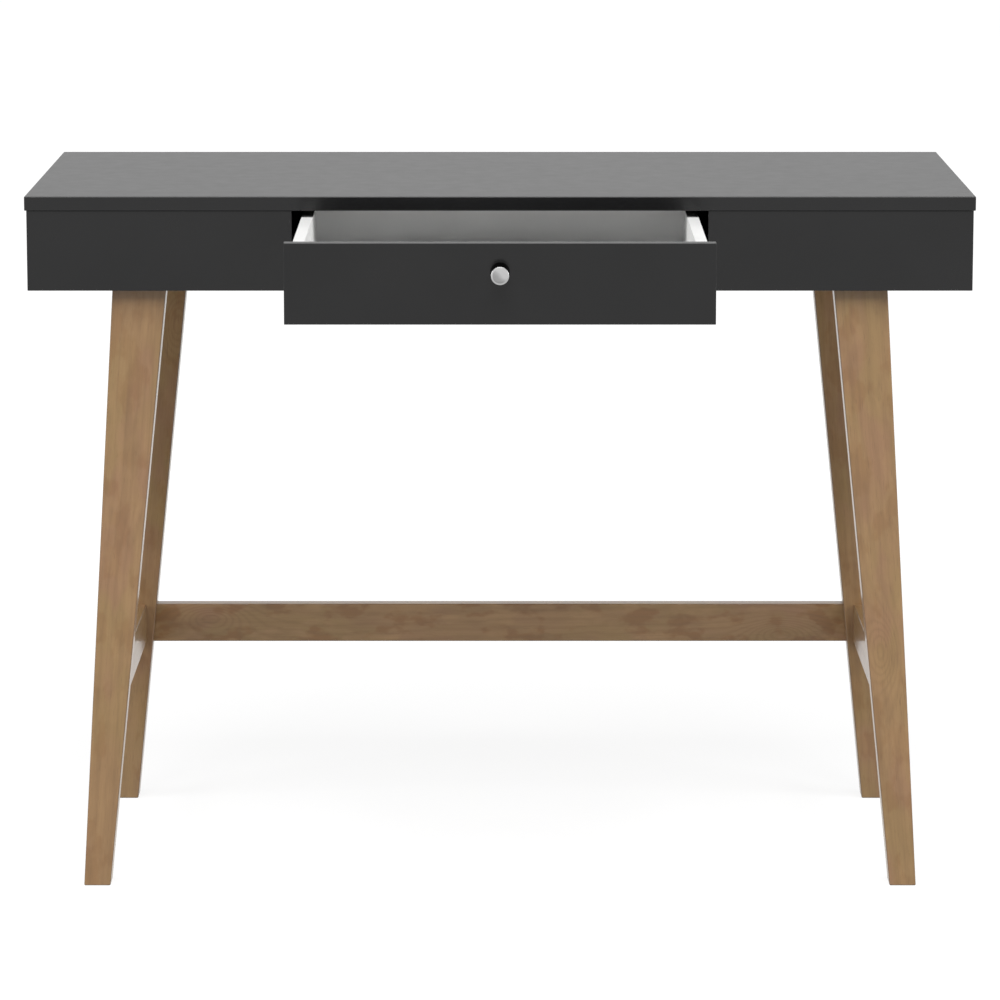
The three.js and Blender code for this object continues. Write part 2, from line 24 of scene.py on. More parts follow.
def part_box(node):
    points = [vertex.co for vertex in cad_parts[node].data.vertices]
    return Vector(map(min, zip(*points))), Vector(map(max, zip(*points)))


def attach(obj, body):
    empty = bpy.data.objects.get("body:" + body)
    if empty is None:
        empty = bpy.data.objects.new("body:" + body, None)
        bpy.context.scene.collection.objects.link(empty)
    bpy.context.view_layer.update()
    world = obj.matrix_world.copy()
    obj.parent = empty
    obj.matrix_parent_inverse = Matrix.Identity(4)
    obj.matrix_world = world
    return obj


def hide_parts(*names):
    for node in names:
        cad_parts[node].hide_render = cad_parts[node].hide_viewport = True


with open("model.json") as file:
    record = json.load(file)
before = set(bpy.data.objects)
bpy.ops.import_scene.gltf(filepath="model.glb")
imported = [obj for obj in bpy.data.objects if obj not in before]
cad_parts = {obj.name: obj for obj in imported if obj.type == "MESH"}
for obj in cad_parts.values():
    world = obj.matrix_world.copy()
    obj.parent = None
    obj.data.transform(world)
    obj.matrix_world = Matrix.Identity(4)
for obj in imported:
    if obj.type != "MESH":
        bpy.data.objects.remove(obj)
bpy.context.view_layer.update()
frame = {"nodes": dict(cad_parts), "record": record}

logging.basicConfig(level=logging.INFO, format="%(message)s")
log = logging.getLogger("desk")

Piece = bpy.types.Object
Material = bpy.types.Material
Triple = tuple[float, float, float]
Colour = Triple
Span = Sequence[float]
Places = Sequence[tuple[float, float]]
Test = Callable[[Any], bool]

MM = 0.001
TURN = 2 * math.pi
X_AXIS, Y_AXIS, Z_AXIS = Vector((1, 0, 0)), Vector((0, 1, 0)), Vector((0, 0, 1))
SMOOTH_ANGLE = math.radians(38.0)
PARALLEL = 0.99
BEND_SEGMENTS = 5
WELD_GAP = 0.001 * MM
LEVEL_BAND = 1.5 * MM


class Labelled(Enum):
    """A choice whose name is part of the solids' names."""

    @property
    def label(self) -> str:
        """The name as the solids have it."""
        return self.name.lower()


class Side(Labelled):
    """The two sides of the desk."""

    LEFT = -1
    RIGHT = 1

    @property
    def out(self) -> Vector:
        """The way out of the desk on this side."""
        return self.value * X_AXIS


class End(Labelled):
    """The two ends of the desk's depth."""

    FRONT = -1
    REAR = 1


class Grain(Enum):
    """The turn, about X, Y and Z, that lays a board's grain along the pattern's own Z."""

    UPRIGHT = (0.0, 0.0, 0.0)
    ACROSS = (0.0, -math.pi / 2, 0.0)
    DEEP = (math.pi / 2, 0.0, 0.0)


class Part(Enum):
    """What a selection is made of: the name of its mode, and of its list in a mesh."""

    CORNERS = ("VERT", "verts")
    EDGES = ("EDGE", "edges")
    FACES = ("FACE", "faces")


# ---- Shader building ----


def math_method(operation: str, swapped: bool = False) -> Callable[..., Term]:
    """Return a method of a term that adds one Math node.

    Args:
        operation: The node's operation.
        swapped: Whether the term comes after the other value.

    Returns:
        The method, which takes the other value where the operation has one.
    """

    def method(term: Term, *other: Any) -> Term:
        """Add the node and return its result."""
        values = (*other, term) if swapped else (term, *other)
        return term.sheet.node("ShaderNodeMath", dict(enumerate(values)), operation=operation)

    return method


class Term:
    """A shader socket that takes part in Python expressions, each operator adding a Math node."""

    __add__, __radd__ = math_method("ADD"), math_method("ADD", swapped=True)
    __sub__, __rsub__ = math_method("SUBTRACT"), math_method("SUBTRACT", swapped=True)
    __mul__, __rmul__ = math_method("MULTIPLY"), math_method("MULTIPLY", swapped=True)
    __truediv__, __rtruediv__ = math_method("DIVIDE"), math_method("DIVIDE", swapped=True)
    __pow__, __rpow__ = math_method("POWER"), math_method("POWER", swapped=True)
    __abs__ = math_method("ABSOLUTE")
    sine = math_method("SINE")
    highest = math_method("MAXIMUM")

    def __init__(self, sheet: NodeSheet, socket: bpy.types.NodeSocket | None) -> None:
        """Wrap one output socket of a node sheet."""
        self.sheet = sheet
        self.socket = socket

    def ramp(self, low: float, high: float, start: float = 0.0, end: float = 1.0) -> Term:
        """Map low..high smoothly to start..end, and hold the ends outside it."""
        inputs = {"Value": self, "From Min": low, "From Max": high, "To Min": start, "To Max": end}
        return self.sheet.node("ShaderNodeMapRange", inputs, interpolation_type="SMOOTHSTEP")

    def around(self, middle: float, swing: float) -> Term:
        """Swing a value about a middle, as a noise swings about 0.5."""
        return (self - 0.5) * swing + middle

    def waves(self, spacing: float) -> Term:
        """Return waves over a length in 0..1, one to each spacing."""
        return (self * (TURN / spacing)).sine() * 0.5 + 0.5


class NodeSheet:
    """The node tree of one material or world, with one method that adds any node."""

    def __init__(self, owner: Material | bpy.types.World) -> None:
        """Start an empty sheet.

        Args:
            owner: The material or the world that the nodes belong to.
        """
        owner.use_nodes = True
        self.owner = owner
        self.tree = owner.node_tree
        self.tree.nodes.clear()

    @classmethod
    def of_material(cls, name: str) -> NodeSheet:
        """Start the sheet of a new material."""
        return cls(bpy.data.materials.new(name))

    def node(
        self,
        kind: str,
        inputs: dict[str | int, Any] | None = None,
        output: str | int = 0,
        **settings: Any,
    ) -> Term:
        """Add a node, set it up, and fill its sockets.

        Args:
            kind: The node's type.
            inputs: Values or terms by socket name or number.
            output: The output socket to return.
            settings: Values of the node itself, which are set first.

        Returns:
            The chosen output as a term.
        """
        node = self.tree.nodes.new(kind)
        for key, value in settings.items():
            setattr(node, key, value)
        for key, value in (inputs or {}).items():
            if isinstance(value, Term):
                self.tree.links.new(value.socket, node.inputs[key])
            else:
                node.inputs[key].default_value = value
        return Term(self, node.outputs[output] if node.outputs else None)

    def place(self) -> Term:
        """Return the Object coordinates."""
        return self.node("ShaderNodeTexCoord", output="Object")

    def turned(self, place: Term, centre: Vector, turn: Sequence[float]) -> Term:
        """Centre a place on a point and turn it about X, Y and Z."""
        moved = self.node("ShaderNodeVectorMath", {0: place, 1: centre[:]}, operation="SUBTRACT")
        return self.node("ShaderNodeMapping", {"Vector": moved, "Rotation": tuple(turn)})

    def stretched(self, place: Term, scale: Sequence[float], shift: float = 0.0) -> Term:
        """Scale coordinates by axis, and shift them to a fresh stretch of a pattern."""
        inputs = {"Vector": place, "Scale": tuple(scale), "Location": (shift, shift, shift)}
        return self.node("ShaderNodeMapping", inputs)

    def noise(self, place: Term, scale: float, detail: float = 2.0, rough: float = 0.5) -> Term:
        """Return a noise value, about 0.5 on average."""
        inputs = {"Vector": place, "Scale": scale, "Detail": detail, "Roughness": rough}
        return self.node("ShaderNodeTexNoise", inputs)

    def mix(self, share: Term | float, one: Term | Colour, other: Term | Colour) -> Term:
        """Blend two colours, with share as how much of the second there is."""
        one, other = (c if isinstance(c, Term) else (*c, 1.0) for c in (one, other))
        return self.node("ShaderNodeMix", {0: share, 6: one, 7: other}, 2, data_type="RGBA")

    def split(self, vector: Term) -> list[Term]:
        """Return the X, Y and Z of a vector."""
        return [self.node("ShaderNodeSeparateXYZ", {0: vector}, output=axis) for axis in range(3)]

    def facing(self) -> list[Term]:
        """Return how far the surface faces along X, Y and Z, whichever way along them."""
        normal = self.node("ShaderNodeNewGeometry", output="True Normal")
        return [abs(part) for part in self.split(normal)]

    def arris(self) -> Term:
        """Return 1 on a board's rounded edges and 0 on its faces, from the surface's normal."""
        across, along, up = self.facing()
        return (1.0 - across.highest(along).highest(up)).ramp(0.02, 0.2)

    def seen(self) -> Term:
        """Find the rays that show the background: from the camera, a gloss or a glass.

        Returns:
            1 for such a ray and 0 for one that only carries light.
        """
        kinds = ("Is Camera Ray", "Is Glossy Ray", "Is Transmission Ray")
        camera, gloss, glass = (self.node("ShaderNodeLightPath", output=kind) for kind in kinds)
        return camera.highest(gloss).highest(glass)

    def bump(self, height: Term, strength: float, depth: float) -> Term:
        """Return the normal of a surface raised by a height in 0..1 times a depth in metres."""
        inputs = {"Height": height, "Strength": strength, "Distance": depth}
        return self.node("ShaderNodeBump", inputs)

    def surface(self, **inputs: Any) -> Material:
        """Close the sheet with one Principled shader, and return the material.

        Args:
            inputs: The shader's sockets, their names with _ for spaces.

        Returns:
            The finished material.
        """
        named = {key.replace("_", " "): value for key, value in inputs.items()}
        shader = self.node("ShaderNodeBsdfPrincipled", named)
        self.node("ShaderNodeOutputMaterial", {"Surface": shader})
        return self.owner


# ---- Finishes ----


@dataclass(frozen=True)
class DarkPaint:
    """Satin anthracite paint: smooth on upright faces, drier on level ones, worn thin over the
    edges, where its lighter colour is also a painted highlight.
    """

    name: str = "dark_paint_finish"
    colour: Colour = (0.0066, 0.0066, 0.0068)
    # Lighter colour where the paint is worn thin on the edges; it also serves as a painted
    # highlight along the arris.
    cloud_colour: Colour = (0.0086, 0.0086, 0.0088)
    thin_colour: Colour = (0.030, 0.030, 0.031)
    upright_roughness: float = 0.15
    level_roughness: float = 0.36
    specular: float = 0.315
    smudge_swing: float = 0.06
    cloud_scale: float = 9.0
    smudge_scale: float = 55.0
    wear_scale: float = 140.0
    wear_share: float = 0.5
    wear_roughness: float = 0.1
    peel_scale: float = 900.0
    peel_strength: float = 0.15
    peel_depth: float = 0.02 * MM

    def material(self) -> Material:
        """Mix the paint.

        Returns:
            The material.
        """
        sheet = NodeSheet.of_material(self.name)
        place = sheet.place()
        cloud = sheet.noise(place, self.cloud_scale, 3.0).ramp(0.3, 0.7)
        smudge = sheet.noise(place, self.smudge_scale, 4.0, 0.6)
        peel = sheet.noise(place, self.peel_scale)
        # Edge wear mask, which also places the painted highlight along the rounded edges.
        edge_wear_and_highlight = sheet.arris() * sheet.noise(place, self.wear_scale, 3.0).ramp(0.42, 0.72)
        level = sheet.facing()[2].ramp(0.5, 0.85)
        drier = level * (self.level_roughness - self.upright_roughness)
        dull = smudge.around(self.upright_roughness, self.smudge_swing)
        tone = sheet.mix(cloud, self.colour, self.cloud_colour)
        return sheet.surface(
            Base_Color=sheet.mix(edge_wear_and_highlight * self.wear_share, tone, self.thin_colour),
            Roughness=dull + drier + edge_wear_and_highlight * self.wear_roughness,
            Specular_IOR_Level=self.specular,
            Normal=sheet.bump(peel, self.peel_strength, self.peel_depth),
        )


@dataclass(frozen=True)
class LacqueredWood:
    """Stained hardwood under a clear lacquer: soft patches, rings, knots, fibres and pores, with
    painted shade darkening its rounded edges.
    """

    pale: Colour = (0.312, 0.183, 0.082)
    olive: Colour = (0.290, 0.179, 0.073)
    rosy: Colour = (0.292, 0.157, 0.082)
    deep: Colour = (0.160, 0.088, 0.036)
    brown: Colour = (0.215, 0.099, 0.031)
    bright: Colour = (0.355, 0.213, 0.095)
    pore: Colour = (0.088, 0.046, 0.021)
    mottle: float = 0.35
    ring_share: float = 0.16
    ring_spacing: float = 7.5 * MM
    ring_sway: float = 50.0 * MM
    ring_ripple: float = 12.0 * MM
    pith_distance: float = 75.0 * MM
    knot_size: tuple[float, float] = (21.0 * MM, 48.0 * MM)
    knot_lift: float = 50.0 * MM
    knot_browning: float = 0.15
    knot_darkening: float = 0.08
    fibre_share: float = 0.16
    pore_share: float = 0.3
    # Painted shade: how far the rounded edges are darkened towards the pore colour.
    edge_share: float = 0.6
    figure_step: float = 3.7
    pith_turn: float = math.radians(35.0)
    pith_step: float = math.radians(47.0)
    roughness: float = 0.42
    roughness_swing: float = 0.16
    specular: float = 0.38
    lacquer: float = 0.45
    lacquer_roughness: float = 0.14
    relief_strength: float = 0.25
    relief_depth: float = 0.05 * MM

    def material(
        self,
        name: str,
        centre: Vector,
        grain: Grain,
        lean: float = 0.0,
        seed: int = 0,
        knots: Places = (),
    ) -> Material:
        """Return the wood of one board.

        Args:
            name: The material's name.
            centre: The board's centre.
            grain: The way that the grain runs.
            lean: The board's lean from upright about Y, in radians.
            seed: The number that picks this board's own figure.
            knots: The places of its knots, across and along the grain from the centre.

        Returns:
            The material.
        """
        sheet = NodeSheet.of_material(name)
        turn = (grain.value[0], grain.value[1] + lean, grain.value[2])
        board = sheet.turned(sheet.place(), centre, turn)
        drift = seed * self.figure_step

        def figure(across: float, along: float, shift: float = 0.0, detail: float = 2.0) -> Term:
            """Return noise of two finenesses, across and along the grain."""
            stretch = sheet.stretched(board, (across, across, along), drift + shift)
            return sheet.noise(stretch, 1.0, detail)

        knot = self._near_knots(sheet, board, knots)
        lift = figure(40.0, 16.0, detail=3.0) * self.ring_ripple + knot * self.knot_lift
        rings = self._rings(sheet, board, figure(6.0, 2.4), lift, seed)
        fibre = figure(700.0, 9.0, detail=3.0)
        pores = figure(1500.0, 60.0, detail=1.0).ramp(0.64, 0.74)
        tone = self.pale
        for colour, across, along, shift, detail, bare, full, share in (
            (self.olive, 22.0, 7.0, 9.0, 2.0, 0.42, 0.62, 1.0),
            (self.rosy, 27.0, 10.0, 14.0, 2.0, 0.50, 0.66, 0.75),
            (self.brown, 48.0, 24.0, 21.0, 3.0, 0.50, 0.62, self.mottle),
            (self.bright, 52.0, 28.0, 31.0, 3.0, 0.50, 0.64, self.mottle),
            (self.deep, 60.0, 14.0, 5.0, 3.0, 0.50, 0.72, 0.30),
            (self.deep, 110.0, 4.0, 2.0, 2.0, 0.45, 0.75, 0.22),
        ):
            patches = figure(across, along, shift, detail).ramp(bare, full, 0.0, share)
            tone = sheet.mix(patches, tone, colour)
        for share, colour in (
            (knot * self.knot_browning, self.brown),
            (rings * (knot * self.knot_darkening + self.ring_share), self.deep),
            (fibre.ramp(0.4, 0.8, 0.0, self.fibre_share), self.deep),
            (pores * self.pore_share, self.pore),
            # Painted shade: darker along the rounded edges.
            (sheet.arris() * self.edge_share, self.pore),
        ):
            tone = sheet.mix(share, tone, colour)
        relief = (fibre + 1.0 - pores) * 0.5
        return sheet.surface(
            Base_Color=tone,
            Roughness=fibre.around(self.roughness, self.roughness_swing),
            Specular_IOR_Level=self.specular,
            Coat_Weight=self.lacquer,
            Coat_Roughness=self.lacquer_roughness,
            Normal=sheet.bump(relief, self.relief_strength, self.relief_depth),
        )

    def _near_knots(self, sheet: NodeSheet, board: Term, knots: Places) -> Term | float:
        """Find how near each place is to a knot.

        Args:
            sheet: The wood's sheet.
            board: The board's coordinates, with Z along the grain.
            knots: The places of the knots.

        Returns:
            1 in the middle of a knot, falling to 0 away from them all.
        """
        across, _, along = sheet.split(board)
        near = 0.0
        for place in knots:
            u = (across - place[0]) / self.knot_size[0]
            w = (along - place[1]) / self.knot_size[1]
            near = (u * u + w * w + 1.0) ** -2.0 + near
        return near

    def _rings(self, sheet: NodeSheet, board: Term, sway: Term, lift: Term, seed: int) -> Term:
        """Return the growth rings, 1 in their dark late wood.

        Args:
            sheet: The wood's sheet.
            board: The board's coordinates, with Z along the grain.
            sway: Noise that bends the rings over the board's length.
            lift: How far the rings are pushed out, in metres.
            seed: The number that turns the pith to one side of the board.

        Returns:
            The rings.
        """
        across, deep, _ = sheet.split(board)
        pith = self.pith_turn + self.pith_step * seed
        u = sway.around(self.pith_distance * math.cos(pith), self.ring_sway) + across
        v = deep + self.pith_distance * math.sin(pith)
        return ((u * u + v * v) ** 0.5 + lift).waves(self.ring_spacing) ** 2.0


@dataclass(frozen=True)
class TurnedChrome:
    """Polished chrome, satin over its rounding, whose end carries fine circular brush lines inside
    a rim and painted shade that darkens it towards the lower left.
    """

    face_colour: Colour = (0.455, 0.455, 0.455)
    # Darker colour for the lower left of the knob's face: painted shade.
    shaded_face_colour: Colour = (0.285, 0.285, 0.285)
    rim_colour: Colour = (0.46, 0.46, 0.46)
    side_colour: Colour = (0.40, 0.40, 0.40)
    grazing_tint: Colour = (0.15, 0.15, 0.15)
    roughness: float = 0.07
    face_radius: float = 7.2 * MM
    line_spacing: float = 0.35 * MM
    line_strength: float = 0.12
    line_depth: float = 0.004 * MM
    face_edge: float = 0.5 * MM
    face_roughness: float = 0.10
    rounding_roughness: float = 0.28
    shade_range: tuple[float, float] = (-5.0 * MM, 4.0 * MM)
    shade_sway: float = 4.0 * MM
    bloom_scale: float = 260.0
    bloom_swing: float = 0.04

    def material(self, centre: Vector) -> Material:
        """Return the chrome of a knob that is turned about Y.

        Args:
            centre: The knob's centre.

        Returns:
            The material.
        """
        sheet = NodeSheet.of_material("turned_chrome_finish")
        place = sheet.place()
        across, _, up = sheet.split(sheet.turned(place, centre, Grain.UPRIGHT.value))
        radius = (across * across + up * up) ** 0.5
        outward = sheet.facing()[1]
        end = outward.ramp(0.9, 0.99)
        rounding = outward.ramp(0.05, 0.2) * (1.0 - end)
        edge = self.face_radius + self.face_edge
        face = end * radius.ramp(self.face_radius, edge, 1.0, 0.0)
        bloom = sheet.noise(place, self.bloom_scale, 3.0)
        sway = bloom.around(0.0, self.shade_sway)
        # Painted shade across the face: darker towards its lower left, lighter towards its upper
        # right.
        shade = (across + up + sway).ramp(*self.shade_range)
        painted_shade_face = sheet.mix(shade, self.shaded_face_colour, self.face_colour)
        turned = sheet.mix(end, self.side_colour, self.rim_colour)
        dull = bloom.around(self.roughness, self.bloom_swing)
        lines = radius.waves(self.line_spacing) * face
        return sheet.surface(
            Base_Color=sheet.mix(face, turned, painted_shade_face),
            Metallic=1.0,
            Specular_Tint=(*self.grazing_tint, 1.0),
            Roughness=dull + face * self.face_roughness + rounding * self.rounding_roughness,
            Normal=sheet.bump(lines, self.line_strength, self.line_depth),
        )


@dataclass(frozen=True)
class Coating:
    """A clouded coat, plating or plastic with a fine texture, and often chalkier edges."""

    name: str
    colour: Colour
    cloud_colour: Colour
    roughness: float
    texture_scale: float
    edge_colour: Colour | None = None
    texture_swing: float = 0.12
    texture_strength: float = 0.2
    texture_depth: float = 0.03 * MM
    cloud_scale: float = 60.0
    cloud_range: tuple[float, float] = (0.4, 0.75)
    cloud_share: float = 0.4
    edge_share: float = 0.5
    specular: float = 0.5
    metallic: float = 0.0

    def material(self) -> Material:
        """Make the coating.

        Returns:
            The material.
        """
        sheet = NodeSheet.of_material(self.name)
        place = sheet.place()
        texture = sheet.noise(place, self.texture_scale)
        cloud = sheet.noise(place, self.cloud_scale, 3.0)
        clouding = cloud.ramp(*self.cloud_range, 0.0, self.cloud_share)
        tone = sheet.mix(clouding, self.colour, self.cloud_colour)
        if self.edge_colour:
            tone = sheet.mix(sheet.arris() * self.edge_share, tone, self.edge_colour)
        return sheet.surface(
            Base_Color=tone,
            Metallic=self.metallic,
            Roughness=texture.around(self.roughness, self.texture_swing),
            Specular_IOR_Level=self.specular,
            Normal=sheet.bump(texture, self.texture_strength, self.texture_depth),
        )


@dataclass(frozen=True)
class PlainBeech:
    """Unfinished turned beech with short dark flecks."""

    pale: Colour = (0.58, 0.40, 0.235)
    deep: Colour = (0.40, 0.25, 0.13)
    fleck_colour: Colour = (0.25, 0.14, 0.07)
    fibre_scale: Triple = (500.0, 60.0, 60.0)
    fleck_scale: Triple = (1400.0, 300.0, 300.0)
    roughness: float = 0.7
    fibre_swing: float = 0.15
    fibre_strength: float = 0.3
    fibre_depth: float = 0.1 * MM

    def material(self) -> Material:
        """Make the dowels' wood.

        Returns:
            The material.
        """
        sheet = NodeSheet.of_material("plain_beech_finish")
        place = sheet.place()
        fibre = sheet.noise(sheet.stretched(place, self.fibre_scale), 1.0, 3.0)
        flecks = sheet.noise(sheet.stretched(place, self.fleck_scale), 1.0, 1.0)
        tone = sheet.mix(fibre.ramp(0.35, 0.7), self.pale, self.deep)
        return sheet.surface(
            Base_Color=sheet.mix(flecks.ramp(0.6, 0.7, 0.0, 0.5), tone, self.fleck_colour),
            Roughness=fibre.around(self.roughness, self.fibre_swing),
            Normal=sheet.bump(fibre, self.fibre_strength, self.fibre_depth),
        )


# ---- Modelling ----


def pick_out(piece: Piece) -> None:
    """Deselect everything, then select one object and make it active.

    Args:
        piece: The object.
    """
    bpy.ops.object.select_all(action="DESELECT")
    piece.select_set(True)
    bpy.context.view_layer.objects.active = piece


def settle(piece: Piece) -> None:
    """Put a piece's place, turn and size into its mesh."""
    pick_out(piece)
    bpy.ops.object.transform_apply(location=True, rotation=True, scale=True)


@contextmanager
def editing(piece: Piece, part: Part = Part.FACES, test: Test | None = None) -> Iterator[None]:
    """Hold a piece in edit mode with all of it selected, or only what passes a test.

    Args:
        piece: The piece to edit.
        part: What the selection is made of.
        test: The test of one corner, edge or face.

    Yields:
        Nothing.
    """
    pick_out(piece)
    bpy.ops.object.mode_set(mode="EDIT")
    bpy.ops.mesh.select_mode(type=part.value[0])
    bpy.ops.mesh.select_all(action="DESELECT" if test else "SELECT")
    if test:
        mesh = bmesh.from_edit_mesh(piece.data)
        for element in filter(test, getattr(mesh, part.value[1])):
            element.select_set(True)
        bmesh.update_edit_mesh(piece.data)
    yield
    bpy.ops.object.mode_set(mode="OBJECT")


def facing(direction: Vector) -> Test:
    """Return a test for faces whose normal points a given way."""
    return lambda face: face.normal.dot(direction) > PARALLEL


def along(axis: int) -> Test:
    """Return a test for edges that run along an axis, which is given as 0, 1 or 2."""
    return lambda edge: abs((edge.verts[1].co - edge.verts[0].co).normalized()[axis]) > PARALLEL


def corner_at(x: float, z: float) -> Test:
    """Return a test for the corners at one X and Z."""
    return lambda corner: abs(corner.co.x - x) < MM and abs(corner.co.z - z) < MM


def push(piece: Piece, test: Test, move: Sequence[float]) -> None:
    """Move the corners that pass a test."""
    with editing(piece, Part.CORNERS, test):
        bpy.ops.transform.translate(value=move)


def added(primitive: Callable[..., set[str]], **settings: Any) -> Piece:
    """Add a primitive with nothing else selected.

    Args:
        primitive: The operator that adds it.
        settings: The operator's values.

    Returns:
        The new object.
    """
    bpy.ops.object.select_all(action="DESELECT")
    primitive(**settings)
    return bpy.context.object


def block(*spans: Span) -> Piece:
    """Add a rectangular block.

    Args:
        spans: Its ends along X, Y and Z.

    Returns:
        The block, its place in its mesh.
    """
    centre = [sum(span) / 2 for span in spans]
    piece = added(bpy.ops.mesh.primitive_cube_add, size=1.0, location=centre)
    piece.scale = [high - low for low, high in spans]
    settle(piece)
    return piece


def round_edges(piece: Piece, radius: float, segments: int = 3, test: Test | None = None) -> None:
    """Round the edges that pass a test, or all of them.

    Args:
        piece: The piece to round.
        radius: The radius of the rounding.
        segments: The number of faces across it.
        test: The test of one edge.
    """
    with editing(piece, Part.EDGES, test):
        bpy.ops.mesh.bevel(
            offset=radius, offset_type="OFFSET", segments=segments, profile=0.5, affect="EDGES"
        )


def apply_modifier(piece: Piece, kind: str, **settings: Any) -> None:
    """Add a modifier to a piece, set its values and apply it.

    Args:
        piece: The piece.
        kind: The modifier's type.
        settings: The modifier's values.
    """
    pick_out(piece)
    bpy.ops.object.modifier_add(type=kind)
    modifier = piece.modifiers[-1]
    for key, value in settings.items():
        setattr(modifier, key, value)
    bpy.ops.object.modifier_apply(modifier=modifier.name)


def cut(piece: Piece, tools: Sequence[Piece]) -> None:
    """Cut tools out of a piece and delete them.

    Args:
        piece: The piece to cut.
        tools: What is cut out of it.
    """
    for tool in tools:
        apply_modifier(piece, "BOOLEAN", operation="DIFFERENCE", object=tool, solver="EXACT")
        bpy.data.objects.remove(tool)


def drum(centre: Vector, radius: float, length: float, axis: Vector, sides: int = 32) -> Piece:
    """Add a cylinder.

    Args:
        centre: The middle of its length.
        radius: Its radius.
        length: Its length.
        axis: The direction of its own +Z.
        sides: The number of its sides.

    Returns:
        The cylinder, its place in its mesh.
    """
    add = bpy.ops.mesh.primitive_cylinder_add
    piece = added(add, vertices=sides, radius=radius, depth=length)
    stand(piece, centre, axis)
    return piece


def wire(points: Sequence[Vector]) -> Piece:
    """Draw a line of edges.

    Args:
        points: The points that it runs through.

    Returns:
        The line.
    """
    piece = added(bpy.ops.mesh.primitive_circle_add, vertices=3, radius=1.0)
    start = piece.data.vertices[0].co.copy()
    with editing(piece, Part.CORNERS, lambda corner: corner.index > 0):
        bpy.ops.mesh.delete(type="VERT")
        bpy.ops.mesh.select_all(action="SELECT")
        bpy.ops.transform.translate(value=points[0] - start)
        for here, there in zip(points, points[1:]):
            bpy.ops.mesh.extrude_region_move(TRANSFORM_OT_translate={"value": there - here})
    return piece


def revolve(piece: Piece, sides: int, rise: float = 0.0, turns: int = 1) -> None:
    """Sweep a line around Z, and make its surface whole.

    Args:
        piece: The line, which becomes the swept surface.
        sides: The number of faces in a turn.
        rise: How far a turn climbs.
        turns: The number of turns.
    """
    steps = {"steps": sides, "render_steps": sides, "iterations": turns}
    apply_modifier(piece, "SCREW", axis="Z", angle=TURN, screw_offset=rise, **steps)
    with editing(piece):
        bpy.ops.mesh.remove_doubles(threshold=WELD_GAP)
        bpy.ops.mesh.normals_make_consistent(inside=False)


def lathe(outline: Places, sides: int = 48) -> Piece:
    """Turn an outline about the Z axis.

    Args:
        outline: The radius and height of each corner. It starts and ends on the axis, or closes.
        sides: The number of faces around.

    Returns:
        The turned piece, on its own Z axis.
    """
    piece = wire([Vector((radius, 0.0, height)) for radius, height in outline])
    revolve(piece, sides)
    return piece


def bent_sheet(section: Places, span: Span, gauge: float, bend: float) -> Piece:
    """Bend a sheet of metal about lines along Y.

    Args:
        section: The X and Z of each corner of its section, along the middle of the sheet.
        span: Its ends along Y.
        gauge: The sheet's thickness.
        bend: The radius of the bends, along the middle of the sheet.

    Returns:
        The bent sheet.
    """
    piece = wire([Vector((x, span[0], z)) for x, z in section])
    with editing(piece, Part.EDGES):
        run = {"value": (0.0, span[1] - span[0], 0.0)}
        bpy.ops.mesh.extrude_region_move(TRANSFORM_OT_translate=run)
    with editing(piece, Part.EDGES, lambda edge: along(1)(edge) and len(edge.link_faces) == 2):
        bpy.ops.mesh.bevel(offset=bend, segments=BEND_SEGMENTS, profile=0.5, affect="EDGES")
    apply_modifier(piece, "SOLIDIFY", thickness=gauge, offset=0.0, use_even_offset=True)
    with editing(piece):
        bpy.ops.mesh.normals_make_consistent(inside=False)
    return piece


def joined(pieces: Sequence[Piece]) -> Piece:
    """Join pieces into the first of them.

    Args:
        pieces: The pieces.

    Returns:
        The whole.
    """
    pick_out(pieces[0])
    for piece in pieces:
        piece.select_set(True)
    bpy.ops.object.join()
    return bpy.context.object


def stand(piece: Piece, origin: Vector, axis: Vector) -> None:
    """Turn a piece's own +Z to an axis, and move its origin to a place."""
    piece.matrix_world = Matrix.LocRotScale(origin, axis.to_track_quat("Z", "Y"), None)
    settle(piece)


def middle_of(node: str) -> Vector:
    """Return the middle of a solid's box."""
    return sum(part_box(node), Vector()) / 2


def size_of(node: str) -> Vector:
    """Return the sizes of a solid's box."""
    low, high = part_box(node)
    return high - low


def body_of(node: str) -> str:
    """Return the body that a solid rides on."""
    bodies = frame["record"]["behaviour"]["bodies"]
    return next(body for body, nodes in bodies.items() if node in nodes)


def span_at(node: str, height: float) -> Span:
    """Measure a solid across at a height.

    Args:
        node: The solid.
        height: The height of the corners that count.

    Returns:
        The lowest and the highest X of those corners.
    """
    corners = (corner.co for corner in frame["nodes"][node].data.vertices)
    across = [place.x for place in corners if abs(place.z - height) < LEVEL_BAND]
    return min(across), max(across)


def dress(piece: Piece, name: str, material: Material, node: str) -> None:
    """Finish a new piece: name, smooth shading, finish, body and the solid that it stands for.

    Args:
        piece: The piece.
        name: Its name.
        material: Its finish.
        node: The solid that it replaces, whose body it rides on.
    """
    piece.name = name
    pick_out(piece)
    bpy.ops.object.shade_smooth_by_angle(angle=SMOOTH_ANGLE)
    apply_modifier(piece, "WEIGHTED_NORMAL", mode="FACE_AREA", weight=50, keep_sharp=True)
    piece.data.materials.clear()
    piece.data.materials.append(material)
    body = body_of(node)
    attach(piece, body)
    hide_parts(node)
    log.info("%s: %d faces on %s", piece.name, len(piece.data.polygons), body)


def rounded_board(node: str, radius: float, segments: int = 3) -> Piece:
    """Model a board with rounded edges where a solid stands.

    Args:
        node: The solid.
        radius: The rounding of its edges.
        segments: The faces across the rounding.

    Returns:
        The board.
    """
    piece = block(*zip(*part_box(node)))
    round_edges(piece, radius, segments)
    return piece


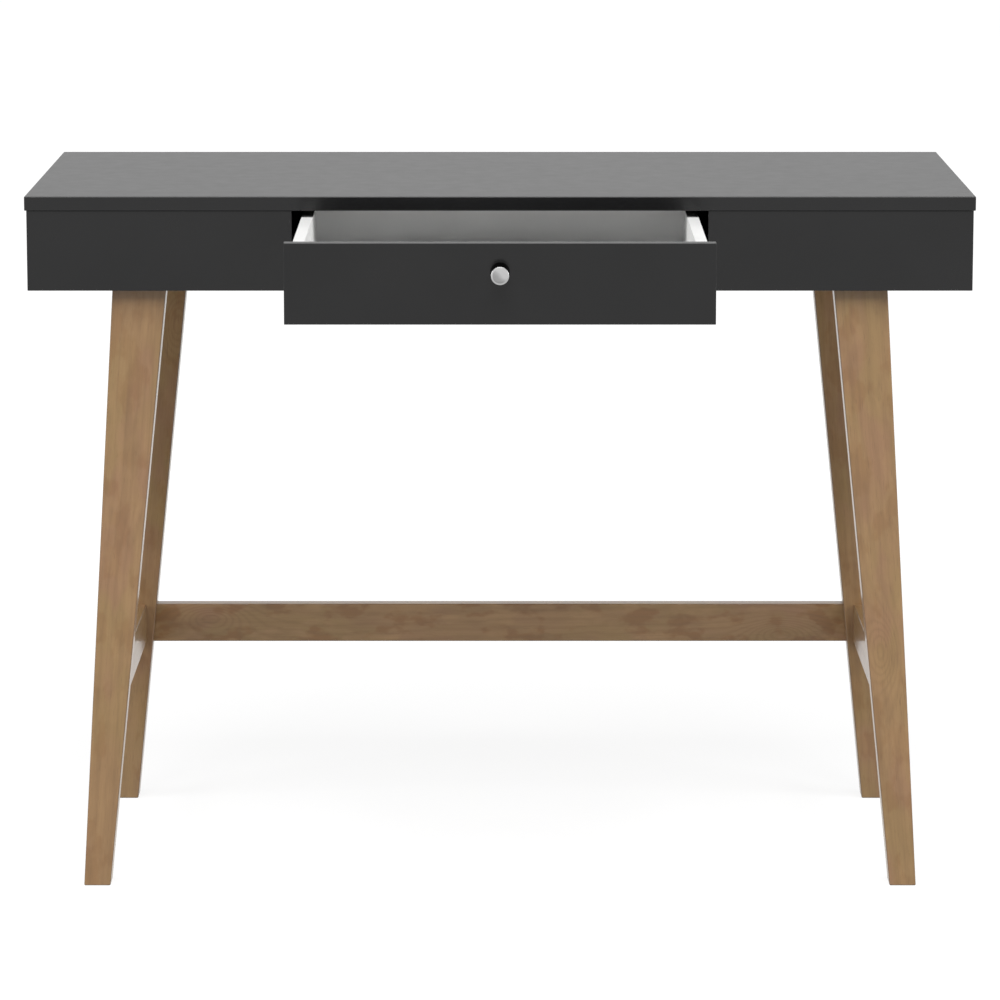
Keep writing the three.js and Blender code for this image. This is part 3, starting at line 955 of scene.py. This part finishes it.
def stand_copies(
    model: Piece, places: Sequence[tuple[str, Vector]], ending: str, material: Material
) -> None:
    """Stand a copy of a model where each solid stands, and delete the model.

    Args:
        model: The model, its foot at the origin and its length along +Z.
        places: The solids, and the way that each one points.
        ending: What a copy's name adds to its solid's.
        material: The copies' finish.
    """
    for node, axis in places:
        pick_out(model)
        bpy.ops.object.duplicate(linked=False)
        piece = bpy.context.object
        stand(piece, middle_of(node) - axis * abs(size_of(node).dot(axis)) / 2, axis)
        dress(piece, f"{node}_{ending}", material, node)
    bpy.data.objects.remove(model)


# ---- The desk's sub-assemblies ----


class Finishes:
    """Every finish that more than one piece shares."""

    def __init__(self) -> None:
        """Make the materials."""
        self.paint = DarkPaint().material()
        # Near-black coat with no gloss on the faces that look into the box: painted shade for its
        # dark inside.
        self.inner_paint = DarkPaint(
            name="inner_paint_finish",
            colour=(0.003,) * 3,
            cloud_colour=(0.004,) * 3,
            thin_colour=(0.02,) * 3,
            upright_roughness=0.8,
            level_roughness=0.8,
            specular=0.0,
        ).material()
        self.melamine = Coating(
            name="white_melamine_finish",
            colour=(0.86, 0.86, 0.85),
            cloud_colour=(0.82, 0.82, 0.81),
            roughness=0.38,
            texture_scale=1100.0,
            edge_colour=(0.74, 0.73, 0.71),
            texture_strength=0.15,
            cloud_scale=14.0,
            cloud_range=(0.35, 0.7),
            cloud_share=1.0,
            edge_share=0.3,
            specular=0.4,
        ).material()
        self.zinc = Coating(
            name="zinc_plate_finish",
            colour=(0.60, 0.61, 0.63),
            cloud_colour=(0.468, 0.4758, 0.4914),
            roughness=0.36,
            texture_scale=600.0,
            texture_depth=0.01 * MM,
            cloud_scale=160.0,
            cloud_share=0.5,
            metallic=1.0,
        ).material()
        self.coated_steel = Coating(
            name="coated_steel_finish",
            colour=(0.80, 0.80, 0.78),
            cloud_colour=(0.70, 0.70, 0.68),
            roughness=0.38,
            texture_scale=1400.0,
            edge_colour=(0.70, 0.70, 0.68),
        ).material()
        self.nylon = Coating(
            name="nylon_finish",
            colour=(0.84, 0.83, 0.79),
            cloud_colour=(0.76, 0.74, 0.69),
            roughness=0.45,
            texture_scale=700.0,
            edge_colour=(0.76, 0.74, 0.69),
        ).material()
        self.beech = PlainBeech().material()


@dataclass
class Cabinet:
    """The painted boards: the top and the shallow box under it."""

    finishes: Finishes
    board_rounding: float = 0.6 * MM
    top_rounding: float = 1.0 * MM
    top_segments: int = 4

    def build(self) -> None:
        """Model the boards, and give their faces that look inside a near-black flat coat, painted
        shade for the dark inside of the box.
        """
        top = rounded_board("top_panel", self.top_rounding, self.top_segments)
        self._paint(top, "table_top", "top_panel", -Z_AXIS)
        self._board("back_panel", "apron_back", -Y_AXIS)
        self._board("cross_rail", "partition_tie")
        for side in Side:
            self._board(f"{side.label}_front_fascia", f"apron_front_{side.label}")
            self._board(f"{side.label}_side_panel", f"apron_side_{side.label}", -side.out)
            self._board(f"{side.label}_partition", f"partition_{side.label}", -side.out)

    def _board(self, node: str, name: str, inward: Vector | None = None) -> None:
        """Model one painted board."""
        self._paint(rounded_board(node, self.board_rounding), name, node, inward)

    def _paint(self, piece: Piece, name: str, node: str, inward: Vector | None) -> None:
        """Paint a board, but its inner face with a near-black flat coat without gloss: painted
        shade for the dark inside of the box.

        Args:
            piece: The board.
            name: Its name.
            node: The solid that it replaces.
            inward: The way that its inner face looks, if it has one.
        """
        dress(piece, name, self.finishes.paint, node)
        if inward is not None:
            piece.data.materials.append(self.finishes.inner_paint)
            with editing(piece, Part.FACES, facing(inward)):
                piece.active_material_index = len(piece.data.materials) - 1
                bpy.ops.object.material_slot_assign()


@dataclass
class LegFrame:
    """Four tapered legs and the stretchers between them."""

    leg_wood: LacqueredWood = LacqueredWood()
    rear_wood: LacqueredWood = LacqueredWood(mottle=0.7, ring_share=0.22)
    leg_rounding: float = 1.4 * MM
    bar_rounding: float = 1.2 * MM
    hole_gap: float = 0.15 * MM
    counterbore: float = 3.0 * MM
    figures: dict[str, tuple[int, Places]] = field(
        default_factory=lambda: {
            "left_front_leg": (0, ()),
            "left_rear_leg": (1, ((0.012, 0.19),)),
            "right_front_leg": (2, ((0.004, -0.11),)),
            "right_rear_leg": (3, ()),
            "left_side_stretcher": (5, ()),
            "right_side_stretcher": (6, ((0.004, 0.06),)),
            "rear_stretcher": (8, ((-0.006, -0.335), (0.012, 0.325))),
        }
    )

    def build(self) -> None:
        """Model the legs and the stretchers."""
        for side in Side:
            for end in End:
                self._leg(side, end)
            self._side_stretcher(side)
        self._rear_stretcher()

    def _finish(
        self, piece: Piece, kind: str, node: str, grain: Grain, lean: float = 0.0
    ) -> None:
        """Give a leg or a stretcher the wood of a board of its own.

        Args:
            piece: The piece.
            kind: The end of its name.
            node: The solid that it replaces.
            grain: The way that its grain runs.
            lean: Its lean from upright about Y, in radians.
        """
        wood = self.rear_wood if node == "rear_stretcher" else self.leg_wood
        seed, knots = self.figures[node]
        material = wood.material(f"{node}_wood", middle_of(node), grain, lean, seed, knots)
        dress(piece, f"{node}_{kind}", material, node)

    def _leg(self, side: Side, end: End) -> None:
        """Model one tapered leg from a block: its head is drawn to the solid's own width.

        Args:
            side: The leg's side.
            end: The leg's end.
        """
        node = f"{side.label}_{end.label}_leg"
        low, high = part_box(node)
        foot, head = span_at(node, low.z), span_at(node, high.z)
        piece = block(foot, (low.y, high.y), (low.z, high.z))
        for below, above in zip(foot, head):
            push(piece, corner_at(below, high.z), (above - below, 0.0, 0.0))
        round_edges(piece, self.leg_rounding)
        cut(piece, [self._screw_hole(f"{node}_screw_{i}", end) for i in (1, 2)])
        lean = math.atan2((sum(foot) - sum(head)) / 2, high.z - low.z)
        self._finish(piece, "board", node, Grain.UPRIGHT, lean)

    def _screw_hole(self, node: str, end: End) -> Piece:
        """Make the tool that sinks a screw's head into the leg.

        Args:
            node: The screw's solid.
            end: The leg's end.

        Returns:
            The tool.
        """
        low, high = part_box(node)
        length = 3 * self.counterbore
        centre = middle_of(node)
        centre.y = (high.y if end is End.FRONT else low.y) - end.value * self.counterbore / 2
        return drum(centre, size_of(node).x / 2 + self.hole_gap, length, Y_AXIS)

    def _side_stretcher(self, side: Side) -> None:
        """Model a side stretcher between the legs.

        Args:
            side: The stretcher's side.
        """
        node = f"{side.label}_side_stretcher"
        low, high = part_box(node)
        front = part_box(f"{side.label}_front_leg")[1].y
        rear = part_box(f"{side.label}_rear_leg")[0].y
        piece = block((low.x, high.x), (front, rear), (low.z, high.z))
        round_edges(piece, self.bar_rounding, test=along(1))
        self._finish(piece, "bar", node, Grain.DEEP)

    def _rear_stretcher(self) -> None:
        """Model the rear stretcher, its shoulders cut to the rake of the legs."""
        node = "rear_stretcher"
        low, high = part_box(node)
        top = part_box("right_rear_leg")[1].z
        foot, head = (span_at("right_rear_leg", z)[0] for z in (0.0, top))
        below, above = (foot + (head - foot) * z / top for z in (low.z, high.z))
        piece = block((-below, below), (low.y, high.y), (low.z, high.z))
        for side in Side:
            push(piece, corner_at(side.value * below, high.z), side.out * (above - below))
        round_edges(piece, self.bar_rounding, test=along(0))
        self._finish(piece, "bar", node, Grain.ACROSS)


@dataclass
class Drawer:
    """The drawer box, its painted front and its turned knob."""

    finishes: Finishes
    front_rounding: float = 0.6 * MM
    box_rounding: float = 0.4 * MM
    back_rounding: float = 1.0 * MM
    knob_base_radius: float = 9.9 * MM
    knob_face_radius: float = 9.05 * MM
    knob_rim_rounding: float = 0.45 * MM
    knob_rim_segments: int = 6
    knob_rim_width: float = 1.3 * MM
    knob_dish_width: float = 2.5 * MM
    knob_dish: Span = (0.25 * MM, 0.1 * MM)
    knob_sides: int = 96

    def build(self) -> None:
        """Model the drawer."""
        front = rounded_board("drawer_front", self.front_rounding)
        dress(front, "drawer_front_board", self.finishes.paint, "drawer_front")
        self._box_board("drawer_back", "drawer_back_board", self.back_rounding)
        self._box_board("drawer_bottom", "drawer_bottom_board", self.box_rounding)
        for side in Side:
            node = f"drawer_{side.label}_side"
            self._box_board(node, f"drawer_side_board_{side.label}", self.box_rounding)
        self._knob()

    def _box_board(self, node: str, name: str, rounding: float) -> None:
        """Model one white board of the drawer box."""
        piece = rounded_board(node, rounding, 2)
        dress(piece, name, self.finishes.melamine, node)

    def _knob(self) -> None:
        """Model the knob from a cylinder: drawn in to its face, rounded, and dished."""
        node = "drawer_knob"
        centre = middle_of(node)
        length = size_of(node).y
        face = length / 2
        piece = drum(Vector(), self.knob_base_radius, length, Z_AXIS, self.knob_sides)
        with editing(piece, Part.FACES, facing(Z_AXIS)):
            share = self.knob_face_radius / self.knob_base_radius
            bpy.ops.transform.resize(value=(share, share, 1.0), center_override=(0, 0, face))
        round_edges(
            piece,
            self.knob_rim_rounding,
            self.knob_rim_segments,
            lambda edge: all(corner.co.z > face - MM for corner in edge.verts),
        )
        end = facing(Z_AXIS)
        with editing(piece, Part.FACES, lambda plane: end(plane) and len(plane.verts) > 8):
            bpy.ops.mesh.inset(thickness=self.knob_rim_width, depth=-self.knob_dish[0])
            bpy.ops.mesh.inset(thickness=self.knob_dish_width, depth=-self.knob_dish[1])
        stand(piece, centre, -Y_AXIS)
        dress(piece, f"{node}_turned", TurnedChrome().material(centre), node)


@dataclass(frozen=True)
class ScrewShape:
    """The shape of one kind of screw, measured from the outer face of its head."""

    head_radius: float
    head_height: float
    crest_radius: float
    core_radius: float
    pitch: float
    tip: float
    recess: float
    countersunk: bool = False
    sides: int = 24
    ease_share: float = 0.12
    arm_share: float = 0.22
    depth_share: float = 0.6

    def model(self, length: float) -> Piece:
        """Model the screw along +Z with its head at the origin.

        Args:
            length: The screw's whole length.

        Returns:
            The screw: a turned body with a cross recess, and a helical thread around it.
        """
        rim, depth, core = self.head_radius, self.head_height, self.core_radius
        ease = self.ease_share * depth
        under = [] if self.countersunk else [(rim, depth)]
        head = [(0.0, 0.0), (rim - ease, 0.0), (rim, ease), *under, (core, depth)]
        body = lathe([*head, (core, length - self.tip), (0.0, length)], self.sides)
        arms = (self.recess, self.arm_share * self.recess)
        deep = (-MM, self.depth_share * depth)
        cut(body, [block((-x, x), (-y, y), deep) for x, y in (arms, arms[::-1])])
        ridge = [(core, 0.0), (self.crest_radius, self.pitch / 2), (core, self.pitch)]
        thread = wire([Vector((radius, 0.0, depth + rise)) for radius, rise in ridge])
        turns = int((length - self.tip - depth) / self.pitch) - 1
        revolve(thread, self.sides, self.pitch, turns)
        return joined([body, thread])


@dataclass
class Fasteners:
    """Screws and dowels."""

    finishes: Finishes
    leg_screw: ScrewShape = ScrewShape(
        4.9 * MM, 3.0 * MM, 2.45 * MM, 1.75 * MM, 1.6 * MM, 4.0 * MM, 2.6 * MM
    )
    runner_screw: ScrewShape = ScrewShape(
        3.35 * MM, 1.8 * MM, 1.6 * MM, 1.1 * MM, 1.1 * MM, 2.4 * MM, 1.7 * MM, True
    )
    knob_screw: ScrewShape = ScrewShape(
        3.9 * MM, 2.0 * MM, 1.95 * MM, 1.6 * MM, 0.7 * MM, 0.6 * MM, 2.1 * MM
    )

    def build(self) -> None:
        """Model each kind of screw, put its copies in place, and coat the dowels."""
        leg_screws = [
            (f"{side.label}_{end.label}_leg_screw_{i}", end.value * Y_AXIS)
            for side in Side
            for end in End
            for i in (1, 2)
        ]
        runner_screws = [
            (f"{side.label}_{part}_runner_screw_{i}", way * side.out)
            for side in Side
            for part, way in (("cabinet", 1), ("drawer", -1))
            for i in (1, 2)
        ]
        for shape, places in (
            (self.leg_screw, leg_screws),
            (self.runner_screw, runner_screws),
            (self.knob_screw, [("knob_screw", -Y_AXIS)]),
        ):
            node, axis = places[0]
            model = shape.model(abs(size_of(node).dot(axis)))
            stand_copies(model, places, "threaded", self.finishes.zinc)
        for node in sorted(frame["nodes"]):
            if node.endswith("_dowel"):
                solid = frame["nodes"][node]
                solid.data.materials.clear()
                solid.data.materials.append(self.finishes.beech)
                log.info("%s: the solid with %s", node, self.finishes.beech.name)


@dataclass
class Runners:
    """The roller runners: bent sheet, headed pins and moulded rollers."""

    finishes: Finishes
    gauge: float = 1.2 * MM
    bend: float = 1.3 * MM
    lead_in: float = 34.0 * MM
    slot_length: float = 9.0 * MM
    slot_width: float = 4.0 * MM
    slots: int = 3
    slot_rounding: float = 1.96 * MM
    slot_segments: int = 6
    screw_inset: float = 45.0 * MM
    hole_radius: float = 3.45 * MM
    stop_height: float = 3.0 * MM
    stop_length: float = 6.0 * MM
    stop_gap: float = 0.3 * MM
    notch_gap: float = 0.01 * MM
    pin_radius: float = 2.5 * MM
    pin_head_radius: float = 4.0 * MM
    pin_head_height: float = 1.0 * MM
    pin_head_dome: Places = ((0.7, 0.0), (0.92, 0.2), (1.0, 0.6))
    collar_radius: float = 3.5 * MM
    least_collar: float = 0.1 * MM
    hub_radius: float = 5.0 * MM
    rim_thickness: float = 2.0 * MM
    disc_thickness: float = 3.0 * MM
    bore_gap: float = 0.1 * MM
    side_gap: float = 0.5 * MM
    rim_rounding: float = 0.5 * MM
    rim_ease: float = 0.15 * MM
    roller_sides: int = 72

    def build(self) -> None:
        """Model both pairs of runners."""
        for side in Side:
            self._channel(side)
            self._rail(side)
        for part, way in (("cabinet", 1), ("drawer", -1)):
            rollers = [(f"{side.label}_{part}_roller", X_AXIS) for side in Side]
            pins = [(f"{side.label}_{part}_roller_pin", way * side.out) for side in Side]
            roller, pin = rollers[0][0], pins[0][0]
            nylon, zinc = self.finishes.nylon, self.finishes.zinc
            stand_copies(self._roller(roller), rollers, "moulded", nylon)
            stand_copies(self._pin(pin, roller), pins, "turned", zinc)

    def _hole(self, place: Vector) -> Piece:
        """Return the tool that cuts a screw's hole through the web."""
        return drum(place, self.hole_radius, 4 * self.gauge, X_AXIS)

    def _channel(self, side: Side) -> None:
        """Model the cabinet's channel, with its lead-in, slots, screw holes and stop.

        Args:
            side: The side of the desk.
        """
        node = f"{side.label}_cabinet_runner"
        low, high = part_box(node)
        half = self.gauge / 2
        inner, outer = sorted((abs(low.x), abs(high.x)))
        mouth, web = side.value * inner, side.value * (outer - half)
        floor, ceiling = low.z + half, high.z - half
        middle = (low.z + high.z) / 2
        first, last = low.y + self.screw_inset, high.y - self.screw_inset
        tools = [self._hole(Vector((web, y, middle))) for y in (first, last)]
        for i in range(self.slots):
            y = first + (last - first) * (i + 1) / (self.slots + 1)
            tools.append(self._slot(Vector((web, y, middle))))
        across = sorted((mouth - side.value * MM, web - side.value * 2 * self.bend))
        entry = (low.y - MM, low.y + self.lead_in)
        tools.append(block(across, entry, (ceiling - self.gauge, high.z + MM)))
        section = [(mouth, floor), (web, floor), (web, ceiling), (mouth, ceiling)]
        sheet = bent_sheet(section, (low.y, high.y), self.gauge, self.bend)
        cut(sheet, tools)
        stop = self._stop(side, sorted((mouth, web)), low.z + self.gauge)
        steel = self.finishes.coated_steel
        dress(joined([sheet, stop]), f"{node}_bent", steel, node)

    def _slot(self, centre: Vector) -> Piece:
        """Make the tool that cuts one oblong slot through the web.

        Args:
            centre: The slot's centre.

        Returns:
            The tool.
        """
        half = Vector((2 * self.gauge, self.slot_length / 2, self.slot_width / 2))
        tool = block(*zip(centre - half, centre + half))
        round_edges(tool, self.slot_rounding, self.slot_segments, along(0))
        return tool

    def _stop(self, side: Side, across: Span, floor: float) -> Piece:
        """Model the wedge that the drawer's roller meets when the drawer is fully open.

        Args:
            side: The side of the desk.
            across: The wedge's ends along X.
            floor: The height of the channel's floor.

        Returns:
            The wedge.
        """
        wheel = f"{side.label}_drawer_roller"
        radius = size_of(wheel).y / 2
        contact = math.sqrt(radius**2 - (radius - self.stop_height) ** 2)
        rear = middle_of(wheel).y - contact - self.stop_gap
        front = rear - self.stop_length
        upright = (floor - self.gauge / 2, floor + self.stop_height)
        piece = block(across, (front, rear), upright)
        push(
            piece,
            lambda corner: corner.co.y < (front + rear) / 2 and corner.co.z > floor,
            (0.0, 0.0, -self.stop_height),
        )
        return piece

    def _rail(self, side: Side) -> None:
        """Model the drawer's rail, which hooks under the drawer's side.

        Args:
            side: The side of the desk.
        """
        node = f"{side.label}_drawer_runner"
        low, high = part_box(node)
        half = self.gauge / 2
        wall = max(abs(corner.x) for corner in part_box(f"drawer_{side.label}_side"))
        inner, outer = sorted((abs(low.x), abs(high.x)))
        lip, web, flange = (side.value * x for x in (inner, wall + half, outer))
        floor, ceiling = low.z + half, high.z - half
        across = sorted((web + side.value * (half + self.notch_gap), flange + side.value * MM))
        rear = (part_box(f"{side.label}_drawer_roller")[0].y - self.side_gap, high.y + MM)
        tools = [block(across, rear, (high.z - 2 * self.bend, high.z + MM))]
        for i in (1, 2):
            place = middle_of(f"{node}_screw_{i}")
            place.x = web
            tools.append(self._hole(place))
        section = [(lip, floor), (web, floor), (web, ceiling), (flange, ceiling)]
        sheet = bent_sheet(section, (low.y, high.y), self.gauge, self.bend)
        cut(sheet, tools)
        dress(sheet, f"{node}_bent", self.finishes.coated_steel, node)

    def _roller(self, node: str) -> Piece:
        """Model a roller: a rim and a hub on a thinner disc.

        Args:
            node: The solid that sets its size.

        Returns:
            The roller.
        """
        width, _, height = size_of(node)
        radius, ease = height / 2, self.rim_ease
        rim = radius - self.rim_thickness
        bore = (self.pin_radius + self.bore_gap, 0.0)
        near = (width - self.disc_thickness) / 2
        half = [bore, (self.hub_radius, 0.0), (self.hub_radius, near), (rim, near), (rim, 0.0)]
        half += [(radius - self.rim_rounding, 0.0), (radius - ease, ease)]
        half += [(radius, self.rim_rounding)]
        outline = half + [(r, width - z) for r, z in reversed(half)] + [bore]
        return lathe(outline, self.roller_sides)

    def _pin(self, node: str, roller: str) -> Piece:
        """Model a roller's pin, with a collar where it reaches past the roller.

        Args:
            node: The pin's solid.
            roller: The solid of the roller that runs on it.

        Returns:
            The pin.
        """
        length = size_of(node).x
        shoulder = length - self.gauge
        journal = self.pin_head_height + 2 * self.side_gap + size_of(roller).x
        rim, core, cap = self.pin_head_radius, self.pin_radius, self.pin_head_height
        dome = [(across * rim, up * cap) for across, up in self.pin_head_dome]
        outline = [(0.0, 0.0), *dome, (rim, cap), (core, cap)]
        if shoulder > journal + self.least_collar:
            outline += [(core, journal), (self.collar_radius, journal)]
            outline += [(self.collar_radius, shoulder), (core, shoulder)]
        return lathe([*outline, (core, length), (0.0, length)])


# ---- Studio ----


@dataclass(frozen=True)
class Softbox:
    """A square soft light that faces the desk: its place, the length of its sides, its watts."""

    name: str
    place: Triple
    size: float
    power: float
    aim: Triple = (0.0, 0.0, 0.5)

    def hang(self) -> None:
        """Hang the light."""
        data = bpy.data.lights.new(self.name, "AREA")
        data.shape = "SQUARE"
        data.size = self.size
        data.energy = self.power
        lamp = bpy.data.objects.new(self.name, data)
        bpy.context.scene.collection.objects.link(lamp)
        lamp.location = self.place
        way = Vector(self.aim) - Vector(self.place)
        lamp.rotation_euler = way.to_track_quat("-Z", "Y").to_euler()


@dataclass
class Studio:
    """A pale floor, soft light and the camera."""

    softboxes: tuple[Softbox, ...] = (
        Softbox("front_softbox", (0.0, -6.9, 9.8), 8.7, 1560.0),
        Softbox("left_softbox", (-3.2, -0.9, 1.5), 1.8, 73.0),
        Softbox("right_softbox", (3.2, -0.9, 1.5), 1.8, 80.0),
    )
    camera_place: Triple = (0.0, -4.8898, 1.3030)
    camera_drop: float = math.radians(9.344)
    lens: float = 165.66
    sensor_width: float = 36.0
    shift: float = -0.08
    clip_end: float = 300.0
    floor_half: float = 60.0
    floor_drop: float = 0.2 * MM
    floor_level: float = 0.24
    floor_shadow_share: float = 0.18
    near_glow: float = 0.87
    near_reach: float = 0.9
    far_reach: float = 2.4
    sky_level: float = 0.02

    def build(self) -> None:
        """Make the floor, the light and the camera."""
        self._floor()
        self._world()
        for softbox in self.softboxes:
            softbox.hang()
        self._camera()
        bpy.context.scene.view_settings.view_transform = "Standard"

    def _floor(self) -> None:
        """Lay a floor that is seen nearly white, keeps shadows, and bounces as pale card."""
        centre = (0.0, 0.0, -self.floor_drop)
        add = bpy.ops.mesh.primitive_plane_add
        floor = added(add, size=2 * self.floor_half, location=centre)
        floor.name = "floor"
        settle(floor)
        sheet = NodeSheet.of_material("floor_finish")
        card, lit = (
            sheet.node("ShaderNodeBsdfDiffuse", {"Color": (level, level, level, 1.0)})
            for level in (self.floor_level, self.floor_shadow_share)
        )
        distance = sheet.node(
            "ShaderNodeVectorMath", {0: sheet.place()}, "Value", operation="LENGTH"
        )
        level = distance.ramp(self.near_reach, self.far_reach, self.near_glow, 1.0)
        glow = sheet.node("ShaderNodeEmission", {"Strength": level})
        both = sheet.node("ShaderNodeAddShader", {0: lit, 1: glow})
        shader = sheet.node("ShaderNodeMixShader", {0: sheet.seen(), 1: card, 2: both})
        sheet.node("ShaderNodeOutputMaterial", {"Surface": shader})
        floor.data.materials.append(sheet.owner)

    def _world(self) -> None:
        """Light the desk with an even sky that is seen as white."""
        sheet = NodeSheet(bpy.data.worlds.new("studio_sky"))
        bpy.context.scene.world = sheet.owner
        light, white = (
            sheet.node("ShaderNodeBackground", {"Color": (1.0,) * 4, "Strength": strength})
            for strength in (self.sky_level, 1.0)
        )
        shader = sheet.node("ShaderNodeMixShader", {0: sheet.seen(), 1: light, 2: white})
        sheet.node("ShaderNodeOutputWorld", {"Surface": shader})

    def _camera(self) -> None:
        """Set the camera square to the desk's front, a little above the top."""
        data = bpy.data.cameras.new("camera")
        data.sensor_width = self.sensor_width
        data.lens = self.lens
        data.shift_y = self.shift
        data.clip_end = self.clip_end
        camera = bpy.data.objects.new("camera", data)
        bpy.context.scene.collection.objects.link(camera)
        camera.location = self.camera_place
        camera.rotation_euler = (math.pi / 2 - self.camera_drop, 0.0, 0.0)
        bpy.context.scene.camera = camera


def main() -> None:
    """Build the studio and the desk."""
    Studio().build()
    finishes = Finishes()
    Cabinet(finishes).build()
    LegFrame().build()
    Drawer(finishes).build()
    Fasteners(finishes).build()
    Runners(finishes).build()


if __name__ == "__main__":
    main()
